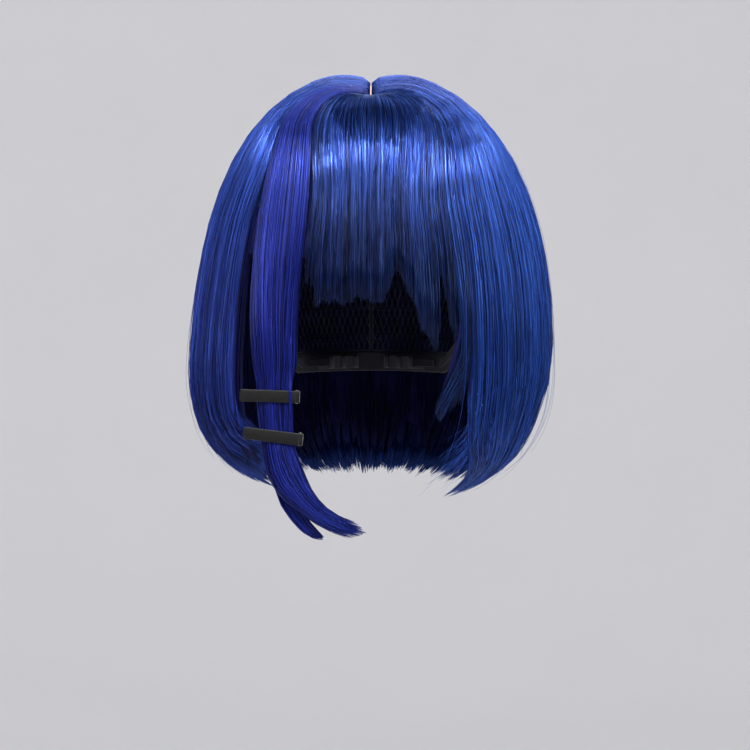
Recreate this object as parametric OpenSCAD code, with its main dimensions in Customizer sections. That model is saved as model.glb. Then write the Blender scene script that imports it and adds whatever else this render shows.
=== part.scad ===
// Bob wig with a fringe, a long side lock and two hair clips, on a net cap.
// Millimetres. +Z up, the face looks along -Y, +X is the wearer's left.
// The origin is the centre of the head cavity, level with the ears.

/* [Head cap] */
// Width of the head cavity at ear level
head_w = 150; // [142:1:154]
// Depth of the head cavity at ear level, forehead to nape
head_d = 188; // [180:1:192]
// Height of the head cavity above ear level
crown_h = 127; // [122:1:128]
// Thickness of the cap net
net_t = 1.2; // [0.8:0.1:1.3]
// Height of the sewn bands round the cap's rim
band_h = 13; // [10:1:15]
// Number of weft rows round the back
back_rows = 9; // [5:1:10]
// Number of weft rows on each side
side_rows = 5; // [3:1:5]

/* [Hair] */
// Greatest width of the hair
hair_w = 236; // [230:1:244]
// Reach of the fringe in front of the origin
hair_front = 113; // [111:1:118]
// Reach of the hair behind the origin
hair_back = 118; // [116:1:124]
// Height of the hair beside the parting, above ear level
hair_top = 141; // [140:1:146]
// Thickness of a hair panel away from the parting
panel_t = 6; // [4:0.5:6]
// Clear gap between neighbouring hair panels
panel_gap = 0.6; // [0.5:0.1:1]

/* [Side lock and clips] */
// Distance of the hanging lock in front of the origin
lock_y = 95; // [94:0.5:97]
// Length of a clip's bar
clip_l = 36.5; // [36:0.5:38]
// Height of a clip's bar
clip_h = 7.5; // [7.5:0.5:9]
// Thickness of a clip's sheet metal
clip_t = 0.9; // [0.7:0.1:1]
// Radius of a clip's hinge pin
pin_r = 0.7; // [0.6:0.1:0.8]

/* [Adjusters] */
// Distance from one sewn loop to the next
loop_pitch = 9; // [8.5:0.5:9]
// Width of the adjuster hook
hook_w = 5.2; // [4:0.2:5.4]

/* [Hidden] */
$fn = 32;

hair_blue = [0.16, 0.26, 0.66];
hair_dark = [0.07, 0.08, 0.30];
lock_blue = [0.14, 0.17, 0.48];
net_black = [0.10, 0.10, 0.13];
tape_black = [0.06, 0.06, 0.08];
skin_beige = [0.86, 0.72, 0.60];
steel_grey = [0.62, 0.63, 0.66];
clip_black = [0.13, 0.13, 0.15];

// ---- Cap surface -------------------------------------------------------
// Exponent of the dome's curve from the rim to the crown, and how far the nape draws in
dome_e = 0.87;
nape_draw = 0.10;
nape_ref = 60;
// Rim heights at the forehead, over the ear and at the nape
rim_front = 76;
rim_ear = 22;
rim_nape = -58;
// Bearings where the front, side and nape bands meet
front_seam = 45;
nape_seam = 120;
seam_gap = 0.6;

function mix(a, b, u) = a + (b - a) * u;
function powp(v, e) = v <= 0 ? 0 : pow(v, e);
function ramp(a, b, v) = let (u = min(1, max(0, (v - a) / (b - a)))) u * u * (3 - 2 * u);

// Bearing is 0 at the front and 90 at the wearer's left; off is the distance outside the cavity.
function cap_k(z, top) = z < 0 ? 1 - nape_draw * pow(z / nape_ref, 2)
    : powp(1 - powp(z / top, 2 / dome_e), dome_e / 2);
function cap_point(bearing, z, off) = let (k = cap_k(z, crown_h + off))
    [(head_w / 2 + off) * k * sin(bearing), -(head_d / 2 + off) * k * cos(bearing), z];
function rim_z(bearing) = let (b = abs(bearing > 180 ? bearing - 360 : bearing))
    rim_front + (rim_ear - rim_front) * ramp(40, 62, b) + (rim_nape - rim_ear) * ramp(100, 135, b);
// Height on the dome for u from the rim (0) to the crown (1), closer together near the crown
function climb_z(z0, top, u) = let (a0 = asin(powp(abs(z0) / top, 1 / dome_e)) * sign(z0), a = mix(a0, 90, u))
    sign(a) * top * powp(abs(sin(a)), dome_e);

// ---- Closed shell between two grids of points --------------------------
// outer and inner are lists of rows, each row with the same number of points.
module grid_shell(outer, inner) {
    rows = len(outer);
    cols = len(outer[0]);
    n = rows * cols;
    points = [for (g = [outer, inner]) for (row = g) for (p = row) p];
    faces = [
        for (r = [0:rows - 2]) for (c = [0:cols - 2]) let (i = r * cols + c) each [
            [i, i + 1, i + cols + 1],
            [i, i + cols + 1, i + cols],
            [n + i, n + i + cols + 1, n + i + 1],
            [n + i, n + i + cols, n + i + cols + 1]
        ],
        for (c = [0:cols - 2]) let (i = c, j = (rows - 1) * cols + c) each [
            [i, n + i + 1, i + 1],
            [i, n + i, n + i + 1],
            [j, j + 1, n + j + 1],
            [j, n + j + 1, n + j]
        ],
        for (r = [0:rows - 2]) let (i = r * cols, j = r * cols + cols - 1) each [
            [i, i + cols, n + i + cols],
            [i, n + i + cols, n + i],
            [j, n + j + cols, j + cols],
            [j, n + j, n + j + cols]
        ]
    ];
    polyhedron(points, faces, convexity = 8);
}

// Strip of the cap between bearings b0 and b1, from lower to upper height functions of the bearing
module cap_strip(b0, b1, lower, upper, off_in, off_out, cols, rows) {
    function grid(off) = [for (r = [0:rows]) [for (c = [0:cols])
        let (b = mix(b0, b1, c / cols)) cap_point(b, mix(lower(b), upper(b), r / rows), off)]];
    grid_shell(grid(off_out), grid(off_in));
}

// Tube swept along rings of points; every ring has the same number of sides.
module ring_sweep(rings) {
    count = len(rings);
    sides = len(rings[0]);
    points = [for (ring = rings) for (p = ring) p];
    faces = [
        [for (s = [0:sides - 1]) s],
        [for (s = [0:sides - 1]) count * sides - 1 - s],
        for (r = [0:count - 2]) for (s = [0:sides - 1]) let (
            a = r * sides + s,
            b = r * sides + (s + 1) % sides
        ) each [[a, b + sides, b], [a, a + sides, b + sides]]
    ];
    polyhedron(points, faces, convexity = 6);
}

// ---- Cap ----------------------------------------------------------------
// Panels and bands share one set of bearings, so that their edges run side by side.
bearing_step = 5;
net_rows = 9;
net_gap = 0.6;
net_seam_gap = 0.5;
// Share of the climb to the crown at which the panels stop, under the crossing tapes
net_end = 0.965;

// Bearings from b0 to b1, at the shared steps between them
function bearings(b0, b1) = [
    b0,
    for (b = [bearing_step * (floor(b0 / bearing_step) + 1):bearing_step:b1 - 0.01]) b,
    b1
];

// Net panel between two bearings, from above the bands to the crown
module net_panel(b0, b1) {
    list = bearings(b0 + net_seam_gap, b1 - net_seam_gap);
    function grid(off) = [for (r = [0:net_rows]) [for (b = list)
        cap_point(b, climb_z(band_top(b) + net_gap, crown_h + off, net_end * r / net_rows), off)]];
    color(net_black) grid_shell(grid(net_t), grid(0));
}
module cap_net_front_left() net_panel(0, 90);
module cap_net_back_left() net_panel(90, 180);
module cap_net_front_right() mirror([1, 0, 0]) cap_net_front_left();
module cap_net_back_right() mirror([1, 0, 0]) cap_net_back_left();

band_t = 1.6;
band_rows = 3;
function band_top(b) = rim_z(b) + band_h;

module rim_band(b0, b1) {
    list = bearings(b0, b1);
    function grid(off) = [for (r = [0:band_rows]) [for (b = list)
        cap_point(b, mix(rim_z(b), band_top(b), r / band_rows), off)]];
    color(tape_black) grid_shell(grid(band_t), grid(0));
}
module cap_front_band() rim_band(-front_seam, front_seam);
module cap_side_band_left() rim_band(front_seam + seam_gap, nape_seam);
module cap_side_band_right() mirror([1, 0, 0]) cap_side_band_left();
module cap_nape_band() rim_band(nape_seam + seam_gap, 360 - nape_seam - seam_gap);

// Ear tab below the side band in front of the ear, and the flat metal stay on it
tab_mid = 57;
tab_half = 8;
tab_low = -26;
tab_t = 1.3;
stay_off = 1.6;
stay_t = 0.6;
stay_half = 1.4;

module ear_tab_left() {
    rows = 5;
    cols = 6;
    function grid(off) = [for (r = [0:rows]) [for (c = [0:cols])
        let (v = r / rows, half = tab_half * (1 - 0.45 * (1 - v)), b = tab_mid + half * (2 * c / cols - 1))
        cap_point(b, mix(tab_low + 3 * pow(2 * c / cols - 1, 2), rim_z(b) - net_gap, v), off)]];
    color(tape_black) grid_shell(grid(tab_t), grid(0));
}
module ear_tab_right() mirror([1, 0, 0]) ear_tab_left();

module ear_stay_left() {
    color(steel_grey) cap_strip(tab_mid - stay_half, tab_mid + stay_half, function(b) tab_low + 5,
        function(b) rim_z(tab_mid) - 4, stay_off, stay_off + stay_t, 1, 6);
}
module ear_stay_right() mirror([1, 0, 0]) ear_stay_left();

// Tapes over the crown, one front to back and one ear to ear above it
tape_w = 12;
tape_t = 0.7;
length_off = net_t + 0.3;
cross_off = length_off + tape_t + 0.3;

// Tape along an arc of the dome from one rim height to the other, width along the other axis
module dome_tape(semi, z0, z1, off, steps) {
    function arc(o) = [for (i = [0:steps]) let (
        a0 = -90 + asin(powp(z0 / (crown_h + o), 1 / dome_e)),
        a1 = 90 - asin(powp(z1 / (crown_h + o), 1 / dome_e)),
        a = mix(a0, a1, i / steps)
    ) [(semi + o) * sign(a) * powp(sin(abs(a)), dome_e), (crown_h + o) * powp(cos(a), dome_e)]];
    outer = arc(off + tape_t);
    inner = arc(off);
    rotate([90, 0, 0]) translate([0, 0, -tape_w / 2]) linear_extrude(tape_w)
        polygon(concat(outer, [for (i = [steps:-1:0]) inner[i]]));
}
module crown_tape_lengthwise() {
    color(tape_black) rotate([0, 0, -90]) dome_tape(head_d / 2, 16, rim_front + band_h + 1, length_off, 24);
}
module crown_tape_crosswise() {
    side_z = rim_ear + band_h + 1;
    color(tape_black) dome_tape(head_w / 2, side_z, side_z, cross_off, 24);
}

// Skin-coloured strip under the parting
skin_half_w = 7;
skin_front = 52;
skin_rear = 30;
skin_t = 0.8;
skin_off = cross_off + tape_t + 0.3;

module parting_skin() {
    steps = 12;
    top = crown_h + skin_off;
    semi = head_d / 2 + skin_off;
    function skin_z(y, t) = (top + t) * powp(1 - powp(abs(y) / semi, 2 / dome_e), dome_e / 2);
    function edge(t) = [for (i = [0:steps])
        let (y = mix(-skin_front, skin_rear, i / steps)) [y, skin_z(y, t)]];
    lower = edge(0);
    color(skin_beige) rotate([90, 0, 90]) translate([0, 0, -skin_half_w]) linear_extrude(2 * skin_half_w)
        polygon(concat(edge(skin_t), [for (i = [steps:-1:0]) lower[i]]));
}

// Weft rows: sewn ribs round the cap, each at one height
weft_off = cross_off + tape_t + 0.5;
weft_t = 1.6;
weft_h = 3;
weft_top = 98;
// Rows below the ears reach this far round from the back's middle, rows above them further
low_row_half = 48;
high_row_half = 86;
low_rows = 4;
side_row_b = [62, 92];

module weft_row(b0, b1, z, steps) {
    function edge(off) = [for (i = [0:steps])
        let (p = cap_point(mix(b0, b1, i / steps), z, off)) [p[0], p[1]]];
    inner = edge(weft_off);
    translate([0, 0, z]) linear_extrude(weft_h)
        polygon(concat(edge(weft_off + weft_t), [for (i = [steps:-1:0]) inner[i]]));
}
module weft_tracks_back() {
    color(hair_dark) for (i = [0:back_rows - 1]) let (half = i < low_rows ? low_row_half : high_row_half)
        weft_row(180 - half, 180 + half, mix(rim_nape + 2, weft_top, i / (back_rows - 1)), 24);
}
module weft_tracks_left() {
    color(hair_dark) for (i = [0:side_rows - 1])
        weft_row(side_row_b[0], side_row_b[1], mix(rim_ear + band_h + 1, weft_top, i / (side_rows - 1)), 10);
}
module weft_tracks_right() mirror([1, 0, 0]) weft_tracks_left();

// ---- Adjusters inside the nape band --------------------------------------
loop_x = 9;
loop_y = 84;
loop_z = -51.5;
loop_turn = -25;
loop_count = 3;
loop_first = 3;
loop_w = 3;
loop_gap = 2.2;
loop_wall = 0.7;
base_t = 1;
base_l = 30;
base_h = 9;
hook_t = 1.2;
hook_in = 19;
hook_l = 20;
slot_l = 2;

module loop_frame() translate([loop_x, loop_y, loop_z]) rotate([0, 0, loop_turn]) children();

module adjuster_loops_left() {
    tunnel_h = 2 * (hook_w / 2 + 0.6);
    front = -base_t - loop_gap - loop_wall;
    color(tape_black) loop_frame() difference() {
        union() {
            translate([0, -base_t, -base_h / 2]) cube([base_l, base_t, base_h]);
            for (i = [0:loop_count - 1])
                translate([loop_first - loop_w / 2 + i * loop_pitch, front, -base_h / 2])
                    cube([loop_w, loop_gap + loop_wall + 0.1, base_h]);
        }
        translate([-1, -base_t - loop_gap, -tunnel_h / 2]) cube([base_l + 2, loop_gap, tunnel_h]);
    }
}
module adjuster_loops_right() mirror([1, 0, 0]) adjuster_loops_left();

module adjuster_hook_left() {
    mid = -base_t - loop_gap / 2;
    color(clip_black) loop_frame() difference() {
        union() {
            translate([hook_in + hook_w / 2, mid - hook_t / 2, -hook_w / 2])
                cube([hook_l - hook_w / 2, hook_t, hook_w]);
            translate([hook_in + hook_w / 2, mid + hook_t / 2, 0]) rotate([90, 0, 0])
                cylinder(h = hook_t, r = hook_w / 2);
        }
        translate([hook_in + hook_l - slot_l - 1.2, mid - hook_t, -hook_w / 2 + 1])
            cube([slot_l, 2 * hook_t, hook_w - 2]);
    }
}
module adjuster_hook_right() mirror([1, 0, 0]) adjuster_hook_left();

// Elastic strap from the hook to the cap behind the ear
strap_t = 0.9;
strap_h = 7;
strap_off = -1.4;
strap_b = [114, 136.5];
strap_high = -26;

module adjuster_strap_left() {
    function mid_z(b) = mix(loop_z, strap_high, ramp(strap_b[1] + 1.5, strap_b[0], b));
    color(tape_black) cap_strip(strap_b[0], strap_b[1], function(b) mid_z(b) - strap_h / 2,
        function(b) mid_z(b) + strap_h / 2, strap_off - strap_t, strap_off, 10, 1);
}
module adjuster_strap_right() mirror([1, 0, 0]) adjuster_strap_left();

// ---- Hair surface -----------------------------------------------------------
// Exponents of the curve from the parting to the widest level, and below it to the hem
fall_e = 0.889;
hem_e = 0.8;
// Height of the widest level, and how far below it the hem's curve would close
wide_z = -40;
close_h = 97;
// Middle and half length of the parting, along Y
part_mid = -10.5;
part_half = 45.5;
// How much lower the hair lies at the front and the back end of the parting
front_drop = 15;
back_drop = 5;
// Depth of the furrow at the parting, and the share of the width that it reaches
part_dip = 5;
dip_reach = 0.16;

// In front of the parting the hair first sweeps sideways, then turns down; it hangs straight
// from this fall on
sweep_end = 60;
sweep_e = 2.67;

function fall_r(f) = f < 90 ? powp(sin(f), fall_e) : powp(cos(f - 90), hem_e);
function sweep(f) = 1 - ramp(0, sweep_end, f);
function swept(bearing, f) = let (a = abs(bearing))
    a >= 90 ? bearing : sign(bearing) * mix(a, 90 * (1 - powp(1 - a / 90, sweep_e)), sweep(f));
// Width in mm that one radian of bearing spans at fall f
function span(bearing, f) = let (a = max(1, abs(bearing)), r = fall_r(f)) max(1,
    hair_w / 2 * r * (a >= 90 ? 1 : mix(1, sweep_e * powp(1 - a / 90, sweep_e - 1), sweep(f))),
    part_half * abs(sin(bearing)) * (1 - r));
// Point on the hair: bearing as on the cap, fall 0 at the parting and 90 at the widest level
function hair_point(bearing, f, depth) = let (
    c = cos(bearing),
    r = fall_r(f),
    turned = swept(bearing, f),
    y_part = part_mid - part_half * c,
    y_wide = -cos(turned) * ((c > 0 ? hair_front : hair_back) - depth),
    top = hair_top - depth - front_drop * pow(max(c, 0), 2) - back_drop * pow(max(-c, 0), 2),
    dip = part_dip * pow(max(0, 1 - r / dip_reach), 2),
    z = f < 90 ? wide_z + (top - wide_z) * powp(cos(f), fall_e) - dip
        : wide_z - close_h * powp(sin(f - 90), hem_e)
) [(hair_w / 2 - depth) * r * sin(turned), mix(y_part, y_wide, r), z];

// Uneven hem: a slow and a quick wave, in degrees of fall
function ragged(u, waves, size) = size * (sin(360 * waves * u + 40) + 0.6 * sin(360 * waves * 2.3 * u));

// Panel of hair between two bearings, from fall f0 to the fall that hem(u) gives; u runs over the
// width, v over the length. bend(u, v) turns the bearing, locks is the number of scalloped locks.
module hair_panel(b0, b1, f0, hem, depth, thick, cols, rows, locks, relief, bend) {
    part_t = 2.2;
    tip_t = 1.6;
    function edge_gap(b, f) = min(panel_gap / 2 / span(b, f) * 180 / PI, 0.3 * (b1 - b0));
    function bearing(u, v, f) = mix(b0 + edge_gap(b0, f), b1 - edge_gap(b1, f), u) + bend(u, v);
    function sunk(u, v) = depth + relief * ramp(0, 0.4, v) * (1 - abs(cos(180 * locks * u)));
    function wall(v, f) = mix(mix(part_t, thick, ramp(0.05, 0.4, fall_r(f))), tip_t, ramp(0.75, 1, v));
    function grid(inside) = [for (j = [0:rows]) let (v = j / rows) [for (i = [0:cols]) let (
        u = i / cols,
        f = mix(f0, hem(u), v)
    ) hair_point(bearing(u, v, f), f, sunk(u, v) + inside * wall(v, f))]];
    outer = grid(0);
    inner = grid(1);
    grid_shell(inner, outer);
}
no_bend = function(u, v) 0;
// Fall at which the panels start beside the parting, and at which the front locks leave its end
part_f = 0.5;
whorl_f = 2;

module fringe_centre() {
    color(hair_blue) hair_panel(-18, 7.5, whorl_f,
        function(u) 78.6 + ragged(u, 2, 0.5) - 4 * ramp(0.85, 1, u),
        0, 4.5, 12, 10, 3, 0.8, no_bend);
}
module fringe_right_wisp() {
    color(hair_blue) hair_panel(-21.8, -18, whorl_f, function(u) 76.5 + 2 * u,
        0.6, 3.5, 3, 10, 1, 0.4, no_bend);
}
module fringe_left_point() {
    color(hair_blue) hair_panel(7.5, 21.8, whorl_f,
        function(u) mix(73, 85.5, ramp(0, 0.85, u)) - 3 * ramp(0.9, 1, u), 0, 4.5, 8, 10, 2, 0.6, no_bend);
}
module fringe_left_wisp() {
    color(hair_blue) hair_panel(21.8, 27.4, whorl_f, function(u) 85 - 4 * u, 0.8, 4, 4, 10, 1, 0.4, no_bend);
}
module face_lock_left() {
    color(hair_blue) hair_panel(27.4, 32.8, whorl_f, function(u) mix(106, 98, u), 1.5, 4.5, 4, 16, 1, 0.4,
        function(u, v) mix(2, 0, u) * ramp(0.6, 0.8, v) - mix(9, 3, u) * ramp(0.85, 1, v));
}
module side_curtain_left() {
    color(hair_blue) hair_panel(32.8, 91, part_f,
        function(u) 147 + 4 * ramp(0, 0.3, u) - 2 * ramp(0.6, 1, u) + ragged(u, 3, 1.2),
        0, panel_t, 18, 18, 5, 1.2, no_bend);
}
module side_curtain_right() {
    color(hair_blue) hair_panel(-91, -44.5, part_f,
        function(u) 142 - 13 * ramp(0.3, 1, u) + ragged(u, 2, 1.2),
        0, panel_t, 14, 18, 4, 1.2, function(u, v) -4.5 * u * ramp(0.3, 0.5, v));
}
module back_left() {
    color(hair_blue) hair_panel(91, 180, part_f, function(u) 149 + ragged(u, 3, 1.2),
        0, panel_t, 20, 18, 6, 1.2, no_bend);
}
module back_right() mirror([1, 0, 0]) back_left();

// Shorter hair under the outer panels
under_depth = 9;
under_t = 3.2;
under_f = 58;

module under_layer_left() {
    color(hair_dark) hair_panel(36, 92, under_f, function(u) 132 + ragged(u, 3, 1.5),
        under_depth, under_t, 12, 9, 1, 0, no_bend);
}
module under_layer_right() {
    color(hair_dark) hair_panel(-92, -50, under_f, function(u) 128 + ragged(u, 3, 1.5),
        under_depth, under_t, 12, 9, 1, 0, no_bend);
}
module under_layer_back() {
    color(hair_dark) hair_panel(93, 267, under_f, function(u) 134 + ragged(u, 6, 1.5),
        under_depth, under_t, 26, 9, 1, 0, no_bend);
}

// ---- Side lock ------------------------------------------------------------
// The root lies on the hair; the tail hangs from it and swings about a line along X.
root_end_f = 76;

module sidelock_root() {
    color(lock_blue) hair_panel(-44.5, -21.8, whorl_f, function(u) root_end_f, -1, 6, 8, 12, 2, 0.6, no_bend);
}

// Middle line of the tail from top to tip: across, height, width and thickness.
// It is thin where the two clips hold it, and its tip turns in towards the chin.
tail_line = [
    [-60.4, 4, 30, 6],
    [-60.2, 0, 31, 9],
    [-59.8, -12, 30.6, 11],
    [-59.2, -28, 29, 11],
    [-58.7, -43, 26.6, 9],
    [-59.3, -52.5, 21.4, 6],
    [-59, -67, 21, 6],
    [-58.4, -72.5, 21, 7],
    [-58.2, -78, 20, 6],
    [-57, -92.5, 19.4, 6],
    [-55.3, -100, 20.5, 8],
    [-53, -108, 21.5, 8],
    [-48.5, -117, 20, 7],
    [-41, -126, 15, 6.5],
    [-32.5, -134, 12.5, 6.5],
    [-22, -140.3, 11.5, 6],
    [-11.5, -144, 11.5, 5],
    [-2, -145.6, 11.5, 2.5]
];
// The shorter tip beside it, behind the tail's own plane by short_off
short_line = [
    [-56, -110, 5, 2.4],
    [-54.5, -118, 9, 3.6],
    [-51, -127, 9.5, 3.8],
    [-45.7, -135.3, 9, 3.6],
    [-40, -142.6, 7.5, 3.2],
    [-34, -147.5, 5.5, 2.4],
    [-29, -150, 2.5, 1.4]
];
short_off = 5.6;
tail_sides = 12;

function line_dir(line, i) = let (
    a = line[max(0, i - 1)],
    b = line[min(len(line) - 1, i + 1)],
    d = [b[0] - a[0], b[1] - a[1]]
) d / norm(d);

// Flat lock of hair along a line in the XZ plane at distance y in front
module flat_lock(line, y) {
    ring_sweep([for (i = [0:len(line) - 1]) let (p = line[i], d = line_dir(line, i), side = [-d[1], d[0]])
        [for (s = [0:tail_sides - 1])
            let (a = 360 * s / tail_sides, w = p[2] / 2 * cos(a), t = p[3] / 2 * sin(a))
            [p[0] + side[0] * w, -y - t, p[1] + side[1] * w]]]);
}
module sidelock_tail() color(lock_blue) flat_lock(tail_line, lock_y);
module sidelock_short_tip() color(lock_blue) flat_lock(short_line, lock_y - short_off);

// ---- Hair clips ---------------------------------------------------------------
// Each clip lies across the tail: bar in front, jaw behind, pin upright at its inner end.
clip_gap = 7.2;
lug_t = 0.7;
lug_r = 1.9;
bore_r = pin_r + 0.05;
pin_x = clip_l - lug_r;
pin_y = 2.6;
corner_r = 1;
jaw_h = clip_h - 2 * lug_t - 0.5;
knuckle_r = 1.55;
knuckle_t = 1;
coil_wire = 0.34;
coil_turns = 5;
jaw_tip = 2;
heel_l = 1.9;
upper_at = [-79.9, -60.4];
lower_at = [-77.8, -83.5];
upper_tilt = 2;
lower_tilt = 7;

// Puts a clip's frame on the tail: local X along the bar, local Y backwards from its rear face
module on_lock(at, tilt) translate([at[0], -lock_y - clip_gap / 2, at[1]]) rotate([0, tilt, 0]) children();

module clip_bar() {
    difference() {
        union() {
            rotate([90, 0, 0]) linear_extrude(clip_t) union() {
                translate([corner_r, -clip_h / 2]) square([clip_l - corner_r, clip_h]);
                translate([0, -clip_h / 2 + corner_r]) square([corner_r + 0.1, clip_h - 2 * corner_r]);
                for (s = [-1, 1]) translate([corner_r, s * (clip_h / 2 - corner_r)]) circle(r = corner_r);
            }
            for (z = [-clip_h / 2, clip_h / 2 - lug_t]) translate([0, 0, z]) {
                translate([pin_x, pin_y, 0]) cylinder(h = lug_t, r = lug_r);
                translate([pin_x - lug_r, -clip_t / 2, 0]) cube([2 * lug_r, pin_y + clip_t / 2, lug_t]);
            }
        }
        translate([pin_x, pin_y, -clip_h]) cylinder(h = 2 * clip_h, r = bore_r);
    }
}

module clip_jaw() {
    arm_in = pin_x - 2.6;
    profile = [
        [jaw_tip, clip_gap + 0.35],
        [jaw_tip + 2, clip_gap],
        [arm_in, clip_gap],
        [pin_x - 1.1, pin_y + 0.9],
        [pin_x + 1, pin_y + 0.4],
        [pin_x + heel_l, pin_y + 1.6],
        [pin_x + heel_l, pin_y + 2.5],
        [pin_x + 0.4, pin_y + 1.5],
        [arm_in + 0.9, clip_gap + clip_t],
        [jaw_tip + 2, clip_gap + clip_t],
        [jaw_tip, clip_gap + clip_t + 0.35]
    ];
    spring_room = jaw_h - 2 * knuckle_t - 0.2;
    difference() {
        union() {
            translate([0, 0, -jaw_h / 2]) linear_extrude(jaw_h) polygon(profile);
            for (z = [-jaw_h / 2, jaw_h / 2 - knuckle_t])
                translate([pin_x, pin_y, z]) cylinder(h = knuckle_t, r = knuckle_r);
        }
        translate([pin_x, pin_y, -clip_h]) cylinder(h = 2 * clip_h, r = bore_r);
        translate([pin_x, pin_y, -spring_room / 2]) cylinder(h = spring_room, r = 2);
    }
}

module clip_pin() {
    head_t = 0.35;
    translate([pin_x, pin_y, -clip_h / 2 - head_t - 0.05]) {
        cylinder(h = clip_h + 2 * head_t + 0.1, r = pin_r);
        cylinder(h = head_t, r = pin_r + 0.5);
        translate([0, 0, clip_h + head_t + 0.1]) cylinder(h = head_t, r = pin_r + 0.5);
    }
}

module clip_spring() {
    pitch = 1.8 * coil_wire;
    translate([pin_x, pin_y, 0]) rotate_extrude() for (i = [0:coil_turns - 1])
        translate([pin_r + 0.15 + coil_wire, (i - (coil_turns - 1) / 2) * pitch])
            circle(r = coil_wire, $fn = 16);
}

module clip_upper_bar() color(clip_black) on_lock(upper_at, upper_tilt) clip_bar();
module clip_upper_jaw() color(clip_black) on_lock(upper_at, upper_tilt) clip_jaw();
module clip_upper_pin() color(steel_grey) on_lock(upper_at, upper_tilt) clip_pin();
module clip_upper_spring() color(steel_grey) on_lock(upper_at, upper_tilt) clip_spring();
module clip_lower_bar() color(clip_black) on_lock(lower_at, lower_tilt) clip_bar();
module clip_lower_jaw() color(clip_black) on_lock(lower_at, lower_tilt) clip_jaw();
module clip_lower_pin() color(steel_grey) on_lock(lower_at, lower_tilt) clip_pin();
module clip_lower_spring() color(steel_grey) on_lock(lower_at, lower_tilt) clip_spring();

cap_net_front_left();
cap_net_front_right();
cap_net_back_left();
cap_net_back_right();
cap_front_band();
cap_side_band_left();
cap_side_band_right();
cap_nape_band();
ear_tab_left();
ear_tab_right();
ear_stay_left();
ear_stay_right();
crown_tape_lengthwise();
crown_tape_crosswise();
parting_skin();
weft_tracks_left();
weft_tracks_right();
weft_tracks_back();
adjuster_loops_left();
adjuster_loops_right();
adjuster_strap_left();
adjuster_strap_right();
adjuster_hook_left();
adjuster_hook_right();
fringe_centre();
fringe_right_wisp();
fringe_left_point();
fringe_left_wisp();
face_lock_left();
side_curtain_left();
side_curtain_right();
back_left();
back_right();
under_layer_left();
under_layer_right();
under_layer_back();
sidelock_root();
sidelock_tail();
sidelock_short_tip();
clip_upper_bar();
clip_upper_jaw();
clip_upper_pin();
clip_upper_spring();
clip_lower_bar();
clip_lower_jaw();
clip_lower_pin();
clip_lower_spring();
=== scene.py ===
"""Bob wig with a fringe, a long side lock and two hair clips: its looks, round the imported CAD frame."""
import math
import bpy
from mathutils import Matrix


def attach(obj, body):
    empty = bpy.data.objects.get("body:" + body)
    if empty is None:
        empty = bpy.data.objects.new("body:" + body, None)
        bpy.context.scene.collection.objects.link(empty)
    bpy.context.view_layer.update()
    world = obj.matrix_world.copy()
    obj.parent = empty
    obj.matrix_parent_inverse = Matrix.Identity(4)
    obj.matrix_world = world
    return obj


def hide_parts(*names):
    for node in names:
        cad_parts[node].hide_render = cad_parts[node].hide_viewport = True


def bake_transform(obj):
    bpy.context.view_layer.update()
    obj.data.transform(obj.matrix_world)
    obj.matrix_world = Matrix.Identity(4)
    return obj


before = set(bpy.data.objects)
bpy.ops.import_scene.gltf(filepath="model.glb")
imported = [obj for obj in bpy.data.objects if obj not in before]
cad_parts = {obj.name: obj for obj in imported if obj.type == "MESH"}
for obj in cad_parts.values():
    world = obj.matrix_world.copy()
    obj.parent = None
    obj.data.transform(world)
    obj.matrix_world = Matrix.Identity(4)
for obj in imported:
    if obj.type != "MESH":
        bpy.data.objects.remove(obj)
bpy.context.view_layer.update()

from types import SimpleNamespace

import bmesh
import bpy
import numpy as np
from mathutils import Matrix, Vector

MM = 0.001
RNG = np.random.default_rng(20)

# ---- Hair surface, the same as the CAD's, in millimetres
HAIR_HALF = 118
HAIR_FRONT = 113
HAIR_BACK = 118
HAIR_TOP = 141
FALL_E = 0.889
HEM_E = 0.8
WIDE_Z = -40
CLOSE_H = 97
PART_MID = -10.5
PART_HALF = 45.5
FRONT_DROP = 15
BACK_DROP = 5
PART_DIP = 5.5
DIP_REACH = 0.3
SWEEP_END = 60
SWEEP_E = 2.67
LOCK_Y = 95
# The hair on the wearer's right lies this share flatter than on the left
RIGHT_FLAT = 0.03

# ---- Cap surface, the same as the CAD's
HEAD_W = 150
HEAD_D = 188
CROWN_H = 127
DOME_E = 0.87
BAND_H = 13
RIM_FRONT = 76
RIM_EAR = 22
RIM_NAPE = -58


def mix(a, b, u):
    return a + (b - a) * u


def powp(v, e):
    return np.maximum(v, 0) ** e


def ramp(a, b, v):
    u = np.clip((v - a) / (b - a), 0, 1)
    return u * u * (3 - 2 * u)


def draws(low, high, count):
    """A column of random numbers, one for each strand."""
    return RNG.uniform(low, high, count)[:, None]


def sin_d(a):
    return np.sin(np.radians(a))


def cos_d(a):
    return np.cos(np.radians(a))


def fall_r(f):
    return np.where(f < 90, powp(sin_d(f), FALL_E), powp(cos_d(f - 90), HEM_E))


def swept(bearing, f):
    """Bearing after the sideways sweep that the hair makes in front of the parting."""
    a = np.abs(bearing)
    wide = 90 * (1 - powp(1 - a / 90, SWEEP_E))
    front = np.sign(bearing) * mix(a, wide, 1 - ramp(0, SWEEP_END, f))
    return np.where(a >= 90, bearing, front)


def span(bearing, f):
    """Width in mm that one radian of bearing spans at fall f."""
    a = np.maximum(1, np.abs(bearing))
    r = fall_r(f)
    sideways = mix(1, SWEEP_E * powp(1 - a / 90, SWEEP_E - 1), 1 - ramp(0, SWEEP_END, f))
    slope = np.where(a >= 90, 1, sideways)
    return np.maximum.reduce([np.ones_like(r * slope), HAIR_HALF * r * slope,
                              PART_HALF * np.abs(sin_d(bearing)) * (1 - r)])


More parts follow.
